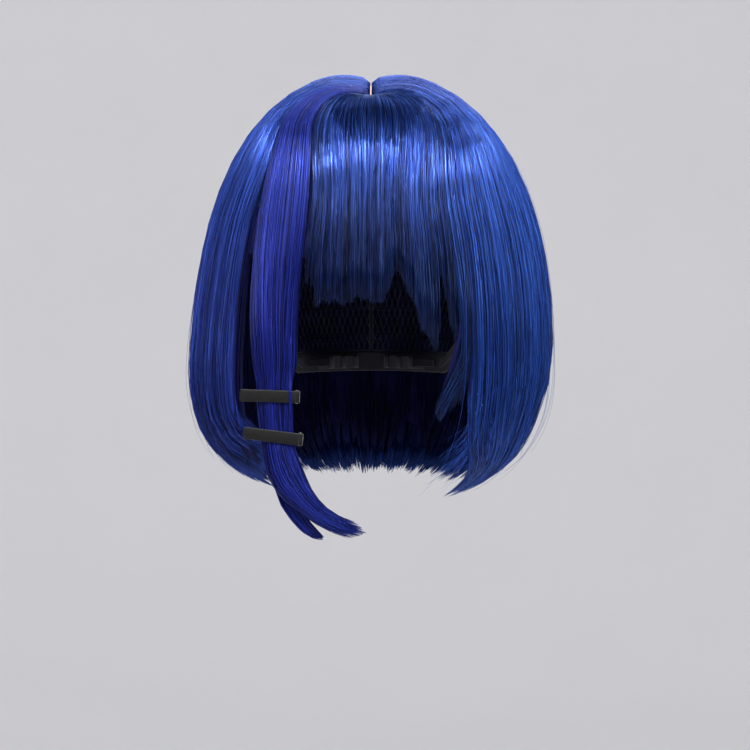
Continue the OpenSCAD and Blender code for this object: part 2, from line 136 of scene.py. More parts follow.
def hair_point(bearing, f, depth):
    """Point on the hair: bearing 0 at the front and 90 at the wearer's left, fall 0 at the parting."""
    c = cos_d(bearing)
    r = fall_r(f)
    turned = swept(bearing, f)
    ct = cos_d(turned)
    y_part = PART_MID - PART_HALF * c
    y_wide = -ct * (np.where(c > 0, HAIR_FRONT, HAIR_BACK) - depth)
    top = HAIR_TOP - depth - FRONT_DROP * powp(c, 2) - BACK_DROP * powp(-c, 2)
    dip = PART_DIP * powp(1 - r / DIP_REACH, 2)
    z = np.where(f < 90, WIDE_Z + (top - WIDE_Z) * powp(cos_d(f), FALL_E) - dip,
                 WIDE_Z - CLOSE_H * powp(sin_d(f - 90), HEM_E))
    flatter = 1 - RIGHT_FLAT * (bearing < 0) * ramp(-60, 20, z)
    x = (HAIR_HALF - depth) * r * sin_d(turned) * flatter
    return np.stack([x, mix(y_part, y_wide, r), z], -1)


def hair_normal(bearing, f, depth):
    return unit(hair_point(bearing, f, depth - 2) - hair_point(bearing, f, depth))


def unit(v):
    return v / np.maximum(np.linalg.norm(v, axis=-1, keepdims=True), 1e-9)


def cap_k(z, top):
    return np.where(z < 0, 1 - 0.10 * (z / 60) ** 2, powp(1 - powp(z / top, 2 / DOME_E), DOME_E / 2))


def cap_point(bearing, z, off, sign=1):
    """Point on the cap, off mm outside it; sign -1 mirrors it to the wearer's right."""
    k = cap_k(z, CROWN_H + off)
    x = sign * (HEAD_W / 2 + off) * k * sin_d(bearing)
    return stack(x, -(HEAD_D / 2 + off) * k * cos_d(bearing), z)


def rim_z(bearing):
    b = np.abs((np.asarray(bearing, float) + 180) % 360 - 180)
    return RIM_FRONT + (RIM_EAR - RIM_FRONT) * ramp(40, 62, b) + (RIM_NAPE - RIM_EAR) * ramp(100, 135, b)


# ---- Meshes
def stack(*parts):
    """Arrays that fit each other, stacked along a new last axis."""
    return np.stack(np.broadcast_arrays(*parts), -1)


def new_object(name, data):
    obj = bpy.data.objects.new(name, data)
    bpy.context.scene.collection.objects.link(obj)
    return obj


def mesh_object(name, points, faces, tone=None, smooth=True):
    """Object from points in mm and faces of one size; tone is a colour for each point."""
    points = np.asarray(points, float).reshape(-1, 3) * MM
    faces = np.asarray(faces, np.int32)
    mesh = bpy.data.meshes.new(name)
    mesh.vertices.add(len(points))
    mesh.vertices.foreach_set("co", points.astype(np.float32).ravel())
    mesh.loops.add(faces.size)
    mesh.loops.foreach_set("vertex_index", faces.ravel())
    mesh.polygons.add(len(faces))
    mesh.polygons.foreach_set("loop_start", np.arange(0, faces.size, faces.shape[1], dtype=np.int32))
    mesh.update(calc_edges=True)
    mesh.polygons.foreach_set("use_smooth", np.full(len(faces), smooth))
    if tone is not None:
        layer = mesh.color_attributes.new("tone", "FLOAT_COLOR", "POINT")
        layer.data.foreach_set("color", np.asarray(tone, np.float32).ravel())
    return new_object(name, mesh)


def ring_quads(rings, sides, closed=False):
    """Faces between rings of points; closed joins the last ring to the first."""
    r, s = np.meshgrid(np.arange(rings if closed else rings - 1), np.arange(sides), indexing="ij")
    a, b = r * sides + s, r * sides + (s + 1) % sides
    total = rings * sides
    return np.stack([a, b, (b + sides) % total, (a + sides) % total], -1).reshape(-1, 4)


def tubes(name, paths, normals, widths, tones, flat=0.6, sides=4):
    """One object of closed tapered tubes. paths and normals are (strands, rings, 3); widths and
    tones fit (strands, rings) and (strands, rings, 3)."""
    strands, rings, _ = paths.shape
    tangent = unit(np.gradient(paths, axis=1))
    across = unit(np.cross(tangent, normals))
    up = np.cross(across, tangent)
    angle = 2 * np.pi * np.arange(sides) / sides
    ring = (across[:, :, None] * np.cos(angle)[:, None]
            + up[:, :, None] * np.sin(angle)[:, None] * flat) * np.atleast_2d(widths)[:, :, None, None] / 2
    k = np.arange(sides // 2 - 1)[:, None]
    cap = np.concatenate([k, k + 1, sides - 2 - k, sides - 1 - k], 1)
    one = np.concatenate([ring_quads(rings, sides), cap[:, ::-1], cap + (rings - 1) * sides])
    faces = (one[None] + (np.arange(strands) * rings * sides)[:, None, None]).reshape(-1, 4)
    tone = np.empty((strands, rings, sides, 4))
    tone[..., :3] = np.atleast_3d(tones)[:, :, None]
    tone[..., 3] = 0.5 + 0.5 * np.cos(angle)
    return mesh_object(name, paths[:, :, None] + ring, faces, tone)


def fix_normals(obj):
    bm = bmesh.new()
    bm.from_mesh(obj.data)
    bmesh.ops.recalc_face_normals(bm, faces=bm.faces)
    bm.to_mesh(obj.data)
    bm.free()
    return obj


def grid_shell(name, outer, inner, *tone):
    """Closed shell between two grids of points (rows, cols, 3); tone is red, green, blue, alpha."""
    rows, cols, _ = outer.shape
    n = rows * cols
    idx = np.arange(n).reshape(rows, cols)
    a, b, c, d = idx[:-1, :-1], idx[:-1, 1:], idx[1:, 1:], idx[1:, :-1]
    faces = [np.stack([a, b, c, d], -1).reshape(-1, 4), np.stack([a, d, c, b], -1).reshape(-1, 4) + n]
    for line, flip in ((idx[0], 1), (idx[-1], 0), (idx[:, 0], 0), (idx[:, -1], 1)):
        p, q = line[:-1], line[1:]
        quad = np.stack([p, q, q + n, p + n], -1)
        faces.append(quad[:, ::-1] if flip else quad)
    tone = np.broadcast_to(stack(*tone), (rows, cols, 4)).reshape(-1, 4)
    points = np.concatenate([outer.reshape(-1, 3), inner.reshape(-1, 3)])
    return fix_normals(mesh_object(name, points, np.concatenate(faces), np.concatenate([tone] * 2)))


# ---- Materials
# Middle and radius in metres of the half disc at the whorl that the fringe paints in shade: darker colour, and
# rougher so that the roots don't shine
SHADED_WHORL_AT = (0.003, 0, 0.122)
SHADED_WHORL_R = 0.028


def srgb(r, g, b):
    return tuple(((c / 255 + 0.055) / 1.055) ** 2.4 if c > 10 else c / 255 / 12.92 for c in (r, g, b)) + (1,)


class Nodes:
    """Builds a material's node tree in reading order."""

    def __init__(self, name):
        self.mat = bpy.data.materials.new(name)
        self.mat.use_nodes = True
        self.tree = self.mat.node_tree
        self.bsdf = self.tree.nodes["Principled BSDF"]

    def put(self, socket, value):
        if isinstance(value, bpy.types.NodeSocket):
            self.tree.links.new(value, socket)
        else:
            socket.default_value = value

    def add(self, kind, values=None, **settings):
        node = self.tree.nodes.new(kind)
        for key, value in settings.items():
            setattr(node, key, value)
        for key, value in (values or {}).items():
            self.put(node.inputs[key], value)
        return node

    def set(self, **values):
        for key, value in values.items():
            self.put(self.bsdf.inputs[key.replace("_", " ").title().replace("Ior", "IOR")], value)
        return self.mat

    def math(self, operation, a, b):
        return self.add("ShaderNodeMath", {0: a, 1: b}, operation=operation).outputs[0]

    def times(self, a, b):
        return self.math("MULTIPLY", a, b)

    def plus(self, a, b):
        return self.math("ADD", a, b)

    def blend(self, factor, a, b, mode="MIX"):
        values = {"Factor": factor, 6: a, 7: b}
        return self.add("ShaderNodeMix", values, data_type="RGBA", blend_type=mode).outputs[2]

    def range(self, value, a, b, c=0.0, d=1.0):
        values = {"Value": value, "From Min": a, "From Max": b, "To Min": c, "To Max": d}
        return self.add("ShaderNodeMapRange", values).outputs[0]

    def noise(self, vector, scale, detail=2.0, rough=0.5):
        values = {"Vector": vector, "Scale": scale, "Detail": detail, "Roughness": rough}
        return self.add("ShaderNodeTexNoise", values).outputs["Fac"]

    def place(self):
        return self.add("ShaderNodeTexCoord").outputs["Object"]

    def tone(self):
        """Red, green, blue and alpha of the mesh's tone."""
        tone = self.add("ShaderNodeAttribute", attribute_name="tone").outputs
        return [*self.add("ShaderNodeSeparateColor", {"Color": tone["Color"]}).outputs, tone["Alpha"]]

    def bump(self, height, strength, distance=0.0002):
        values = {"Height": height, "Strength": strength, "Distance": distance}
        self.set(normal=self.add("ShaderNodeBump", values).outputs[0])


def hair_material(name, deep, body, bright, roughness, root=1.0, low=1.0, tip=0.14, whorl=False):
    """Fibre colour: tone red is the strand's own draw, darker for deeper strands as painted shade, green runs
    root to tip, blue is the lock's draw, alpha runs across the strand. A violet cast lies on the wearer's
    right, azure on the left.
    root and low paint shade onto the roots and the tips, and whorl paints shade onto a half disc at the whorl."""
    n = Nodes(name)
    strand, along, lock, across = n.tone()
    x, _, z = n.add("ShaderNodeSeparateXYZ", {"Vector": n.place()}).outputs
    streak_at = {"X": n.times(strand, 140.0), "Y": n.times(across, 7.0), "Z": n.times(along, 5.0)}
    streak = n.noise(n.add("ShaderNodeCombineXYZ", streak_at).outputs[0], 1.0, 2.0, 0.6)
    level = n.plus(n.times(strand, 0.6), n.times(lock, 0.4))
    colour = n.blend(n.range(level, 0.22, 0.8), deep, body)
    shine = n.times(n.range(streak, 0.42, 0.66), n.range(level, 0.3, 1.0, 0.15, 0.8))
    colour = n.blend(shine, colour, bright)
    violet = n.times(n.range(x, 0.01, -0.09, 0.0, 0.55), n.range(z, 0.10, 0.0))
    azure = n.range(x, 0.03, 0.11, 0.0, 0.32)
    for share, cast in ((violet, (1.45, 0.78, 1.0, 1)), (azure, (0.75, 1.5, 1.1, 1))):
        colour = n.blend(share, colour, n.blend(1.0, colour, cast, "MULTIPLY"))
    # Painted shade: darker towards the roots (down to root) and towards the tips (down to low)
    painted_shade = n.times(n.range(along, 0.02, 0.40, root, 1.0), n.range(along, 0.58, 0.85, 1.0, low))
    rough = n.range(streak, 0.3, 0.7, roughness + 0.07, roughness - 0.05)
    metallic = 0.6
    # Painted shade: inside the half disc at the whorl the colour is darkened, and roughness and metal rise
    if whorl:
        flat_at = n.add("ShaderNodeCombineXYZ", {"X": x, "Z": z}).outputs[0]
        apart = n.add("ShaderNodeVectorMath", {0: flat_at, 1: SHADED_WHORL_AT}, operation="DISTANCE").outputs["Value"]
        jagged = n.plus(apart, n.range(strand, 0.0, 1.0, -0.003, 0.004))
        inside = n.range(jagged, SHADED_WHORL_R, SHADED_WHORL_R + 0.003, 1.0, 0.0)
        painted_shade = n.times(painted_shade, n.range(inside, 0.0, 1.0, 1.0, 0.55))
        rough = n.plus(rough, n.times(inside, 0.15))
        metallic = n.range(inside, 0.0, 1.0, metallic, 0.95)
    shade = n.add("ShaderNodeCombineColor", {k: painted_shade for k in ("Red", "Green", "Blue")})
    colour = n.blend(1.0, colour, shade.outputs[0], "MULTIPLY")
    colour = n.blend(n.range(along, 0.9, 1.0, 0.0, tip), colour, bright)
    n.bump(streak, 0.5)
    return n.set(base_color=colour, roughness=rough, metallic=metallic, specular_ior_level=0.55,
                 specular_tint=srgb(205, 218, 255))


def shaded_base_material():
    """Packed hair under the loose strands, painted far darker than the fibre as shade: fine matt lines along
    the fall.
    """
    n = Nodes("packed_fibre_painted_shade")
    across, along, _, _ = n.tone()
    at = n.add("ShaderNodeCombineXYZ", {"X": n.times(across, 420.0), "Y": n.times(along, 4.0)}).outputs[0]
    lines = n.noise(at, 1.0, 3.0, 0.7)
    n.bump(lines, 0.6, 0.0004)
    # Painted shade: the packed hair's colours are far darker than the fibre's own
    return n.set(base_color=n.blend(n.range(lines, 0.35, 0.7), srgb(3, 4, 30), srgb(10, 16, 78)),
                 roughness=0.75, specular_ior_level=0.12)


def thread_material(name, dark, light, roughness, sheen):
    """Yarn: shade by each thread's own draw, with fine twisted plies."""
    n = Nodes(name)
    draw = n.tone()[0]
    place = n.place()
    wave = {"Vector": place, "Scale": 900.0, "Distortion": 2.5, "Detail": 1.0}
    ply = n.add("ShaderNodeTexWave", wave, bands_direction="DIAGONAL").outputs["Fac"]
    fuzz = n.noise(place, 2600.0, 3.0, 0.7)
    n.bump(n.plus(n.times(ply, 0.7), fuzz), 0.35)
    return n.set(base_color=n.blend(n.plus(n.times(draw, 0.6), n.times(fuzz, 0.5)), dark, light),
                 roughness=n.range(fuzz, 0.3, 0.7, roughness - 0.08, roughness + 0.08),
                 sheen_weight=sheen, sheen_roughness=0.5)


def metal_material(name, dark, light, wear_colour, metallic, roughness):
    """Sheet metal or wire: brushed along, with cloudy smudges; tone red brings out worn edges."""
    n = Nodes(name)
    wear = n.tone()[0]
    place = n.place()
    stretch = n.add("ShaderNodeMapping", {"Vector": place, "Scale": (60.0, 900.0, 900.0)}).outputs[0]
    brushed = n.noise(stretch, 1.0, 4.0, 0.6)
    smudge = n.noise(place, 130.0, 4.0, 0.6)
    chips = n.range(n.plus(wear, n.times(n.noise(place, 900.0, 3.0, 0.6), 0.9)), 1.05, 1.45)
    colour = n.blend(n.range(smudge, 0.35, 0.7), dark, light)
    n.bump(n.plus(brushed, n.times(smudge, 0.4)), 0.12, 0.0001)
    grain = n.range(brushed, 0.3, 0.7, roughness - 0.07, roughness + 0.07)
    return n.set(base_color=n.blend(chips, colour, wear_colour), metallic=metallic,
                 roughness=n.plus(grain, n.times(smudge, 0.08)), specular_ior_level=0.25)


def skin_material():
    n = Nodes("skin_film")
    place = n.place()
    blotch = n.noise(place, 160.0, 4.0, 0.6)
    pores = n.add("ShaderNodeTexVoronoi", {"Vector": place, "Scale": 900.0}).outputs["Distance"]
    roots = n.times(n.range(pores, 0.16, 0.3, 1.0, 0.0), 0.55)
    colour = n.blend(n.range(blotch, 0.35, 0.65), srgb(226, 188, 160), srgb(206, 160, 134))
    n.bump(pores, 0.4)
    return n.set(base_color=n.blend(roots, colour, srgb(44, 46, 96)), subsurface_weight=0.1,
                 roughness=n.range(blotch, 0.3, 0.7, 0.5, 0.66), subsurface_radius=(0.002, 0.001, 0.0006))


HAIR = hair_material("hair_fibre", srgb(4, 9, 50), srgb(24, 50, 146), srgb(76, 124, 222), 0.22)
# The fringe paints shade at its roots, at its tips and in the half disc at the whorl
FRINGE = hair_material("fringe_fibre", srgb(4, 9, 50), srgb(24, 48, 142), srgb(88, 134, 222), 0.18,
                       0.8, 0.32, 0.0, True)
LOCK = hair_material("lock_fibre", srgb(4, 6, 44), srgb(17, 28, 112), srgb(48, 72, 188), 0.28)
# The under layers and the wefts: the same fibre painted darker as shade
SHADE = hair_material("inner_fibre_painted_shade", srgb(4, 5, 38), srgb(8, 12, 66), srgb(20, 30, 106), 0.42)
SHADED_BASE = shaded_base_material()
NET = thread_material("net_yarn", srgb(12, 12, 26), srgb(36, 38, 66), 0.6, 0.25)
ELASTIC = thread_material("elastic_weave", srgb(14, 14, 22), srgb(46, 46, 60), 0.7, 0.35)
THREAD = thread_material("sewing_thread", srgb(34, 38, 84), srgb(74, 80, 140), 0.55, 0.25)
STEEL = metal_material("bright_metal", srgb(150, 148, 146), srgb(190, 188, 186), srgb(215, 214, 212), 1.0, 0.28)
CLIP = metal_material("black_enamel", srgb(5, 5, 6), srgb(11, 11, 12), srgb(48, 47, 50), 0.0, 0.46)
PLASTIC = metal_material("hook_nylon", srgb(20, 20, 26), srgb(34, 34, 44), srgb(70, 72, 84), 0.0, 0.45)
SKIN = skin_material()


def assign(obj, material, body, slot, *replaced):
    obj.data.materials.clear()
    obj.data.materials.append(material)
    if body:
        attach(obj, body)
    if replaced:
        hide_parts(*replaced)


# ---- Hair panels
def ragged(u, waves, size):
    return size * (sin_d(360 * waves * u + 40) + 0.6 * sin_d(360 * waves * 2.3 * u))


def no_bend(u, v):
    return 0 * u * v


def wall(thick, f, v):
    part_t, tip_t = 2.2, 1.6
    return mix(mix(part_t, thick, ramp(0.05, 0.4, fall_r(f))), tip_t, ramp(0.75, 1, v))


def ring_shares(rings):
    """Shares of a strand's length for its rings, close together at the root, where it bends most."""
    near = np.array([0, 0.006, 0.014, 0.025, 0.039, 0.058, 0.082])
    return np.concatenate([near, np.linspace(0.11, 1, rings - len(near))])


def still(u):
    return 0 * u


def panel(b, hem, count, locks, **own):
    """Numbers of one panel of hair, lengths in mm and falls in degrees. b are the bearings of its
    edges, f0 and hem the falls where it starts and ends, relief and clump shape its locks, tips is
    how unevenly they end, fly lifts a few strands, reach widens it to each side, short and inset
    make the dark base under it smaller, and pieces splits its strands into objects."""
    usual = dict(f0=0.15, depth=0, thick=4.5, relief=1.0, width=0.8, bend=no_bend, clump=0.5, tips=3.0,
                 fly=0.0, curl=still, tuck=still, reach=(0, 0), taper=0.84, flat_tip=0.2, pieces=1,
                 rings=19, base_rows=30, short=12.0, inset=0.0, fibre=FRINGE, slot="hair_blue")
    return SimpleNamespace(**{**usual, **own}, b=b, hem=hem, count=count, locks=locks)


def draw_strands(p, layers):
    """Paths, normals, widths and tones of the strands of one piece of panel p. layers are shares of
    the panel's thickness."""
    count, locks, (b0, b1) = p.count // p.pieces, p.locks, p.b
    u = RNG.permutation((np.arange(count) + RNG.random(count)) / count)
    layer = mix(layers[0], layers[1], RNG.random(count) ** 0.8)
    between = (np.arange(1, locks) + RNG.uniform(-0.3, 0.3, locks - 1)) / locks
    edges = np.sort(np.concatenate([[0], between, [1]]))
    lock = np.clip(np.searchsorted(edges, u) - 1, 0, locks - 1)
    centre = (edges[lock] + edges[lock + 1]) / 2
    off_centre = np.abs((u - centre) / (edges[lock + 1] - edges[lock]))
    lock_draw = RNG.random(locks)
    lock_hem = RNG.uniform(-1, 1, locks) * p.tips * 0.5
    lock_bend = RNG.uniform(-1, 1, locks) * 0.012
    fine = max(locks * 5, 6)
    fine_lock = np.clip((u * fine).astype(int), 0, fine - 1)
    fine_centre = (fine_lock + 0.5) / fine
    fine_draw = RNG.random(fine)
    v = ring_shares(p.rings)[None]
    end = p.hem(u) + lock_hem[lock] - p.tips * (0.96 * layer + 1.6 * off_centre) \
        + RNG.normal(0, 0.35 * p.tips, count)
    start = p.f0 + RNG.random(count) ** 2 * 2.0
    f = mix(start[:, None], end[:, None], v)
    pull = p.clump * ramp(0.55, 1.0, v) * draws(0.5, 1.0, count)
    uu = mix(u[:, None], mix(fine_centre, centre, 0.25)[:, None], pull)
    phase = RNG.random((count, 3)) * 2 * np.pi
    drift = np.sin(phase[:, :1] + v * 4.0) * 0.3 + np.sin(phase[:, 1:2] + v * 9.0) * 0.15
    width_mm = HAIR_HALF * np.radians(b1 - b0)
    uu = uu + drift * ramp(0, 0.5, v) / width_mm * 2.2 + lock_bend[lock][:, None] * ramp(0.4, 1, v)
    uu = np.clip(uu * (1 + sum(p.reach)) - p.reach[0], 0.002 - p.reach[0], 0.998 + p.reach[1])
    bearing = mix(b0, b1, uu) + p.bend(uu, v)
    ridge = ramp(0, 0.4, v) * (2 * off_centre[:, None]) ** 1.5
    ridge = p.relief * (ridge + 0.5 * ramp(0.1, 0.5, v) * np.abs(2 * (uu * fine % 1) - 1))
    sunk = p.depth + ridge + layer[:, None] * wall(p.thick, f, v) * 0.85
    sunk = sunk + np.sin(phase[:, 2:3] + v * 7.0) * 0.35 * ramp(0, 0.3, v)
    sunk = sunk + 2.4 * (1 - ramp(0.0, 0.05, fall_r(f)))
    sunk = sunk + p.curl(uu) * ramp(0.84, 1.0, v) ** 1.3 + p.tuck(uu) * ramp(88, 112, f)
    if p.fly:
        wild = (RNG.random(count) < 0.04) * RNG.uniform(0.3, 1.0, count)
        sunk = sunk - p.fly * wild[:, None] * ramp(0.3, 1.0, v)
    squeeze = np.clip(span(bearing, f) / (0.8 * HAIR_HALF), 0.3, 1)
    own_width = p.width * draws(0.6, 1.25, count)
    widths = own_width * squeeze * mix(0.55, 1, ramp(0, 0.12, v)) * mix(1, p.flat_tip, ramp(p.taper, 1, v))
    # Painted shade: strands that lie deeper in the panel draw a darker tone
    own = np.clip(0.5 + RNG.normal(0, 0.24, count) - 0.25 * layer, 0, 1)
    patch = 0.5 * lock_draw[lock] + 0.5 * fine_draw[fine_lock]
    tones = stack(own[:, None], v, patch[:, None])
    return hair_point(bearing, f, sunk), hair_normal(bearing, f, sunk), widths, tones


def add_base(name, p):
    """Layer under the strands of panel p, in painted shade, so that no light shows through them."""
    b0, b1 = p.b
    u = np.linspace(-0.004, 1.004, 40)[None]
    v = np.linspace(0, 1, p.base_rows)[:, None] ** 1.5
    f = mix(p.f0 + 0.5, p.hem(u) - p.short, v)
    narrow = 1 - p.inset * ramp(0.5, 1, v)
    bearing = mix(b0, b1, 0.5 + (u - 0.5) * narrow) + p.bend(u, v)
    sunk = p.depth + 1.2 * (1 - ramp(0.0, 0.08, fall_r(f))) + p.tuck(u) * ramp(88, 112, f)
    sunk = sunk + p.curl(u) * ramp(0.84, 1.0, (f - p.f0) / (p.hem(u) - p.f0)) ** 1.3
    outer, inner = (hair_point(bearing, f, sunk + share * wall(p.thick, f, v)) for share in (0.66, 1.0))
    assign(grid_shell(name, outer, inner, u * (b1 - b0) / 90, v, u, u), SHADED_BASE, "wig", "hair_dark")


CURTAIN = dict(f0=0.12, thick=6, pieces=4, tips=5.0, clump=0.75, relief=1.6, fly=5.0, rings=24, fibre=HAIR)
BACK = dict(CURTAIN, pieces=3, width=1.5, clump=0.7, fly=4.0)
UNDER = dict(f0=58, depth=9, thick=3.2, relief=0.6, width=1.8, clump=0.7, tips=6.0, rings=15, short=14.0,
             base_rows=16, fibre=SHADE, slot="hair_dark")
PANELS = {
    "fringe_centre": panel(
        (-18, 7.5), lambda u: 79.2 + ragged(u, 3, 0.35) - 5 * ramp(0.86, 1, u), 2600, 9,
        pieces=2, width=0.66, tips=1.3, short=5.5, taper=0.93, flat_tip=0.4),
    "fringe_right_wisp": panel(
        (-21.8, -18), lambda u: 76.0 + 2 * u, 420, 2,
        depth=0.6, thick=3.5, width=0.7, tips=4.0, clump=0.8, short=8, taper=0.9),
    "fringe_left_point": panel(
        (7.5, 21.8), lambda u: mix(73, 88, ramp(0, 0.85, u)) - 4 * ramp(0.9, 1, u), 1050, 3,
        width=0.7, tips=1.8, short=7, inset=0.35, taper=0.9, flat_tip=0.3),
    "fringe_left_wisp": panel(
        (21.8, 27.4), lambda u: mix(74, 88, ramp(0, 0.9, u)), 520, 3,
        depth=0.8, thick=4, width=0.75, clump=0.6, inset=0.5, taper=0.9),
    "face_lock_left": panel(
        (27.4, 32.8), lambda u: mix(107, 99, u), 800, 3,
        depth=1.5, tips=3.5, clump=0.6, rings=22, short=11, inset=0.7, taper=0.9,
        bend=lambda u, v: mix(2, 0, u) * ramp(0.6, 0.8, v) - mix(9, 3, u) * ramp(0.85, 1, v)),
    "side_curtain_left": panel(
        (32.8, 91), lambda u: 146.5 + 4 * ramp(0.05, 0.5, u) - 2 * ramp(0.6, 1, u) + ragged(u, 3, 1.2), 4200, 8,
        **CURTAIN, curl=lambda u: 6 * (1 - u), tuck=lambda u: 7 * u,
        bend=lambda u, v: 14 * powp(1 - u, 1.5) * ramp(0.72, 1, v)),
    "side_curtain_right": panel(
        (-91, -44.5), lambda u: 142 - 13 * ramp(0.3, 1, u) + ragged(u, 2, 1.2), 4200, 7,
        **CURTAIN, curl=lambda u: 24 * ramp(0.1, 1, u), bend=lambda u, v: -4.5 * u * ramp(0.3, 0.5, v)),
    "back_left": panel((91, 180), lambda u: 149 + ragged(u, 3, 1.2), 3150, 10,
                       **BACK, tuck=lambda u: 5 * (1 - u), reach=(0, 0.014)),
    "back_right": panel((-180, -91), lambda u: 149 + ragged(1 - u, 3, 1.2), 3150, 10,
                        **BACK, reach=(0.014, 0)),
    "under_layer_left": panel((36, 92), lambda u: 132 + ragged(u, 3, 1.5), 700, 8, **UNDER),
    "under_layer_right": panel((-92, -50), lambda u: 128 + ragged(u, 3, 1.5), 700, 8, **UNDER),
    "under_layer_back": panel((93, 267), lambda u: 134 + ragged(u, 6, 1.5), 1500, 8, **UNDER),
}


def make_panels():
    for node, p in PANELS.items():
        for k in range(p.pieces):
            layers = (k / p.pieces * 0.6, (k + 1) / p.pieces)
            name = f"{node}_hair" + (f"_layer_{k + 1}" if k else "")
            hair = tubes(name, *draw_strands(p, layers))
            assign(hair, p.fibre, "wig", p.slot, *([] if k else [node]))
        add_base(f"{node}_base", p)
    add_base("sidelock_base", panel((-46, -20), lambda u: 70 + 0 * u, 0, 0,
                                    f0=0.3, depth=2.6, thick=3.5, short=0.0))


# ---- Side lock
# Middle line of the tail: across, height, width, thickness, in mm, as in the CAD
TAIL_LINE = np.array([
    [-60.4, 4, 30, 6], [-60.2, 0, 31, 9], [-59.8, -12, 30.6, 11], [-59.2, -28, 29, 11], [-58.7, -43, 26.6, 9],
    [-59.3, -52.5, 21.4, 6], [-59, -67, 21, 6], [-58.4, -72.5, 21, 7], [-58.2, -78, 20, 6],
    [-57, -92.5, 19.4, 6], [-55.3, -100, 20.5, 8], [-53, -108, 21.5, 8], [-48.5, -117, 20, 7],
    [-41, -126, 15, 6.5], [-32.5, -134, 12.5, 6.5], [-22, -140.3, 11.5, 6], [-11.5, -144, 11.5, 5],
    [-2, -145.6, 11.5, 2.5]])
SHORT_LINE = np.array([[-56, -110, 5, 2.4], [-54.5, -118, 9, 3.6], [-51, -127, 9.5, 3.8],
                       [-45.7, -135.3, 9, 3.6], [-40, -142.6, 7.5, 3.2], [-34, -147.5, 5.5, 2.4],
                       [-29, -150, 2.5, 1.4]])
SHORT_OFF = 5.6
ROOT_B = (-44.5, -21.8)
ROOT_END_F = 76


def along_line(line, s):
    """Place, side direction, width and thickness at share s of the length of a line."""
    step = np.linalg.norm(np.diff(line[:, :2], axis=0), axis=1)
    dist = np.concatenate([[0], np.cumsum(step)]) / step.sum()
    fine = np.linspace(0, 1, 200)
    cols = np.stack([np.interp(fine, dist, line[:, k]) for k in range(4)], 1)
    kernel = np.ones(9) / 9
    for k in range(2):
        cols[:, k] = np.convolve(np.pad(cols[:, k], 4, mode="reflect", reflect_type="odd"), kernel, "valid")
    direction = unit(np.gradient(cols[:, :2], axis=0))
    got = [np.interp(s, fine, cols[:, k]) for k in range(4)]
    dx, dz = (np.interp(s, fine, direction[:, k]) for k in range(2))
    return got[0], got[1], -dz, dx, got[2], got[3]


def facing(a):
    """Direction out of the lock's face for strands at a, from -1 to 1 across it."""
    return stack(0.4 * a, -0.8, 0.1)[:, None]


def lock_strands(count, spread, ends, width=0.95):
    """Strands of the side lock: down the root's panel and then along the tail."""
    k_root, k_tail = 15, 18
    radius = np.sqrt(RNG.uniform(spread[0] ** 2, spread[1] ** 2, count))
    angle = RNG.random(count) * 2 * np.pi
    a, t = radius * np.cos(angle), radius * np.sin(angle)
    u = 0.5 + (a * np.sqrt(1 - a * a) + np.arcsin(a)) / np.pi
    f = mix(0.2, ROOT_END_F - 8, np.linspace(0, 1, k_root) ** 1.7)[None] + draws(0, 1.5, count)
    bearing = mix(ROOT_B[0] + 0.6, ROOT_B[1] - 0.6, u)[:, None]
    depth = -1 + (0.5 + 0.5 * t)[:, None] * wall(6, f, 0) * 0.8 + 2.4 * (1 - ramp(0.0, 0.05, fall_r(f)))
    root = hair_point(bearing, f, depth)
    end = RNG.uniform(ends[0], ends[1], count) - 0.05 * np.abs(a)
    s = np.linspace(0.07, 1, k_tail)[None] * end[:, None]
    x, z, sx, sz, w, th = along_line(TAIL_LINE, s)
    phase = RNG.random((count, 2)) * 2 * np.pi
    aa = a[:, None] * 0.97 + 0.05 * np.sin(phase[:, :1] + s * 9)
    tt = t[:, None] * 0.92 + 0.06 * np.sin(phase[:, 1:] + s * 11)
    tail = stack(x + sx * aa * w / 2, -LOCK_Y + tt * th / 2, z + sz * aa * w / 2)
    paths = np.concatenate([root, tail], 1)
    for _ in range(3):
        beside = paths[:, k_root - 6:k_root + 2] + paths[:, k_root - 4:k_root + 4]
        paths[:, k_root - 5:k_root + 3] = (paths[:, k_root - 5:k_root + 3] + 0.5 * beside) / 2
    normals = unit(np.concatenate([hair_normal(bearing, f, depth), facing(a) + 0 * tail], 1))
    v = np.linspace(0, 1, k_root + k_tail)[None]
    own_width = width * draws(0.6, 1.25, count)
    at_root = np.clip(span(bearing, f) / (0.8 * HAIR_HALF), 0.25, 1)
    squeeze = np.concatenate([at_root, np.ones((count, k_tail))], 1)
    widths = own_width * squeeze * mix(0.6, 1, ramp(0, 0.1, v)) * mix(1, 0.15, ramp(0.85, 1, v))
    # Painted shade: strands nearer the back of the lock draw a darker tone
    own = np.clip(0.5 + RNG.normal(0, 0.24, count) + 0.12 * -t, 0, 1)
    patch = RNG.random(14)[np.clip(((a + 1) * 7).astype(int), 0, 13)]
    return paths, normals, widths, stack(own[:, None], v, patch[:, None])


def free_hairs(name, bearing, f, depth, width, shade, flat):
    """Single hairs on or off the surface; width and the tip's share of it are a pair."""
    t = np.linspace(0, 1, f.shape[1])[None]
    hairs = tubes(name, hair_point(bearing, f, depth), hair_normal(bearing, f, depth),
                  width[0] * mix(1, width[1], t), stack(shade, t, shade), flat)
    assign(hairs, HAIR, "wig", "hair_blue")


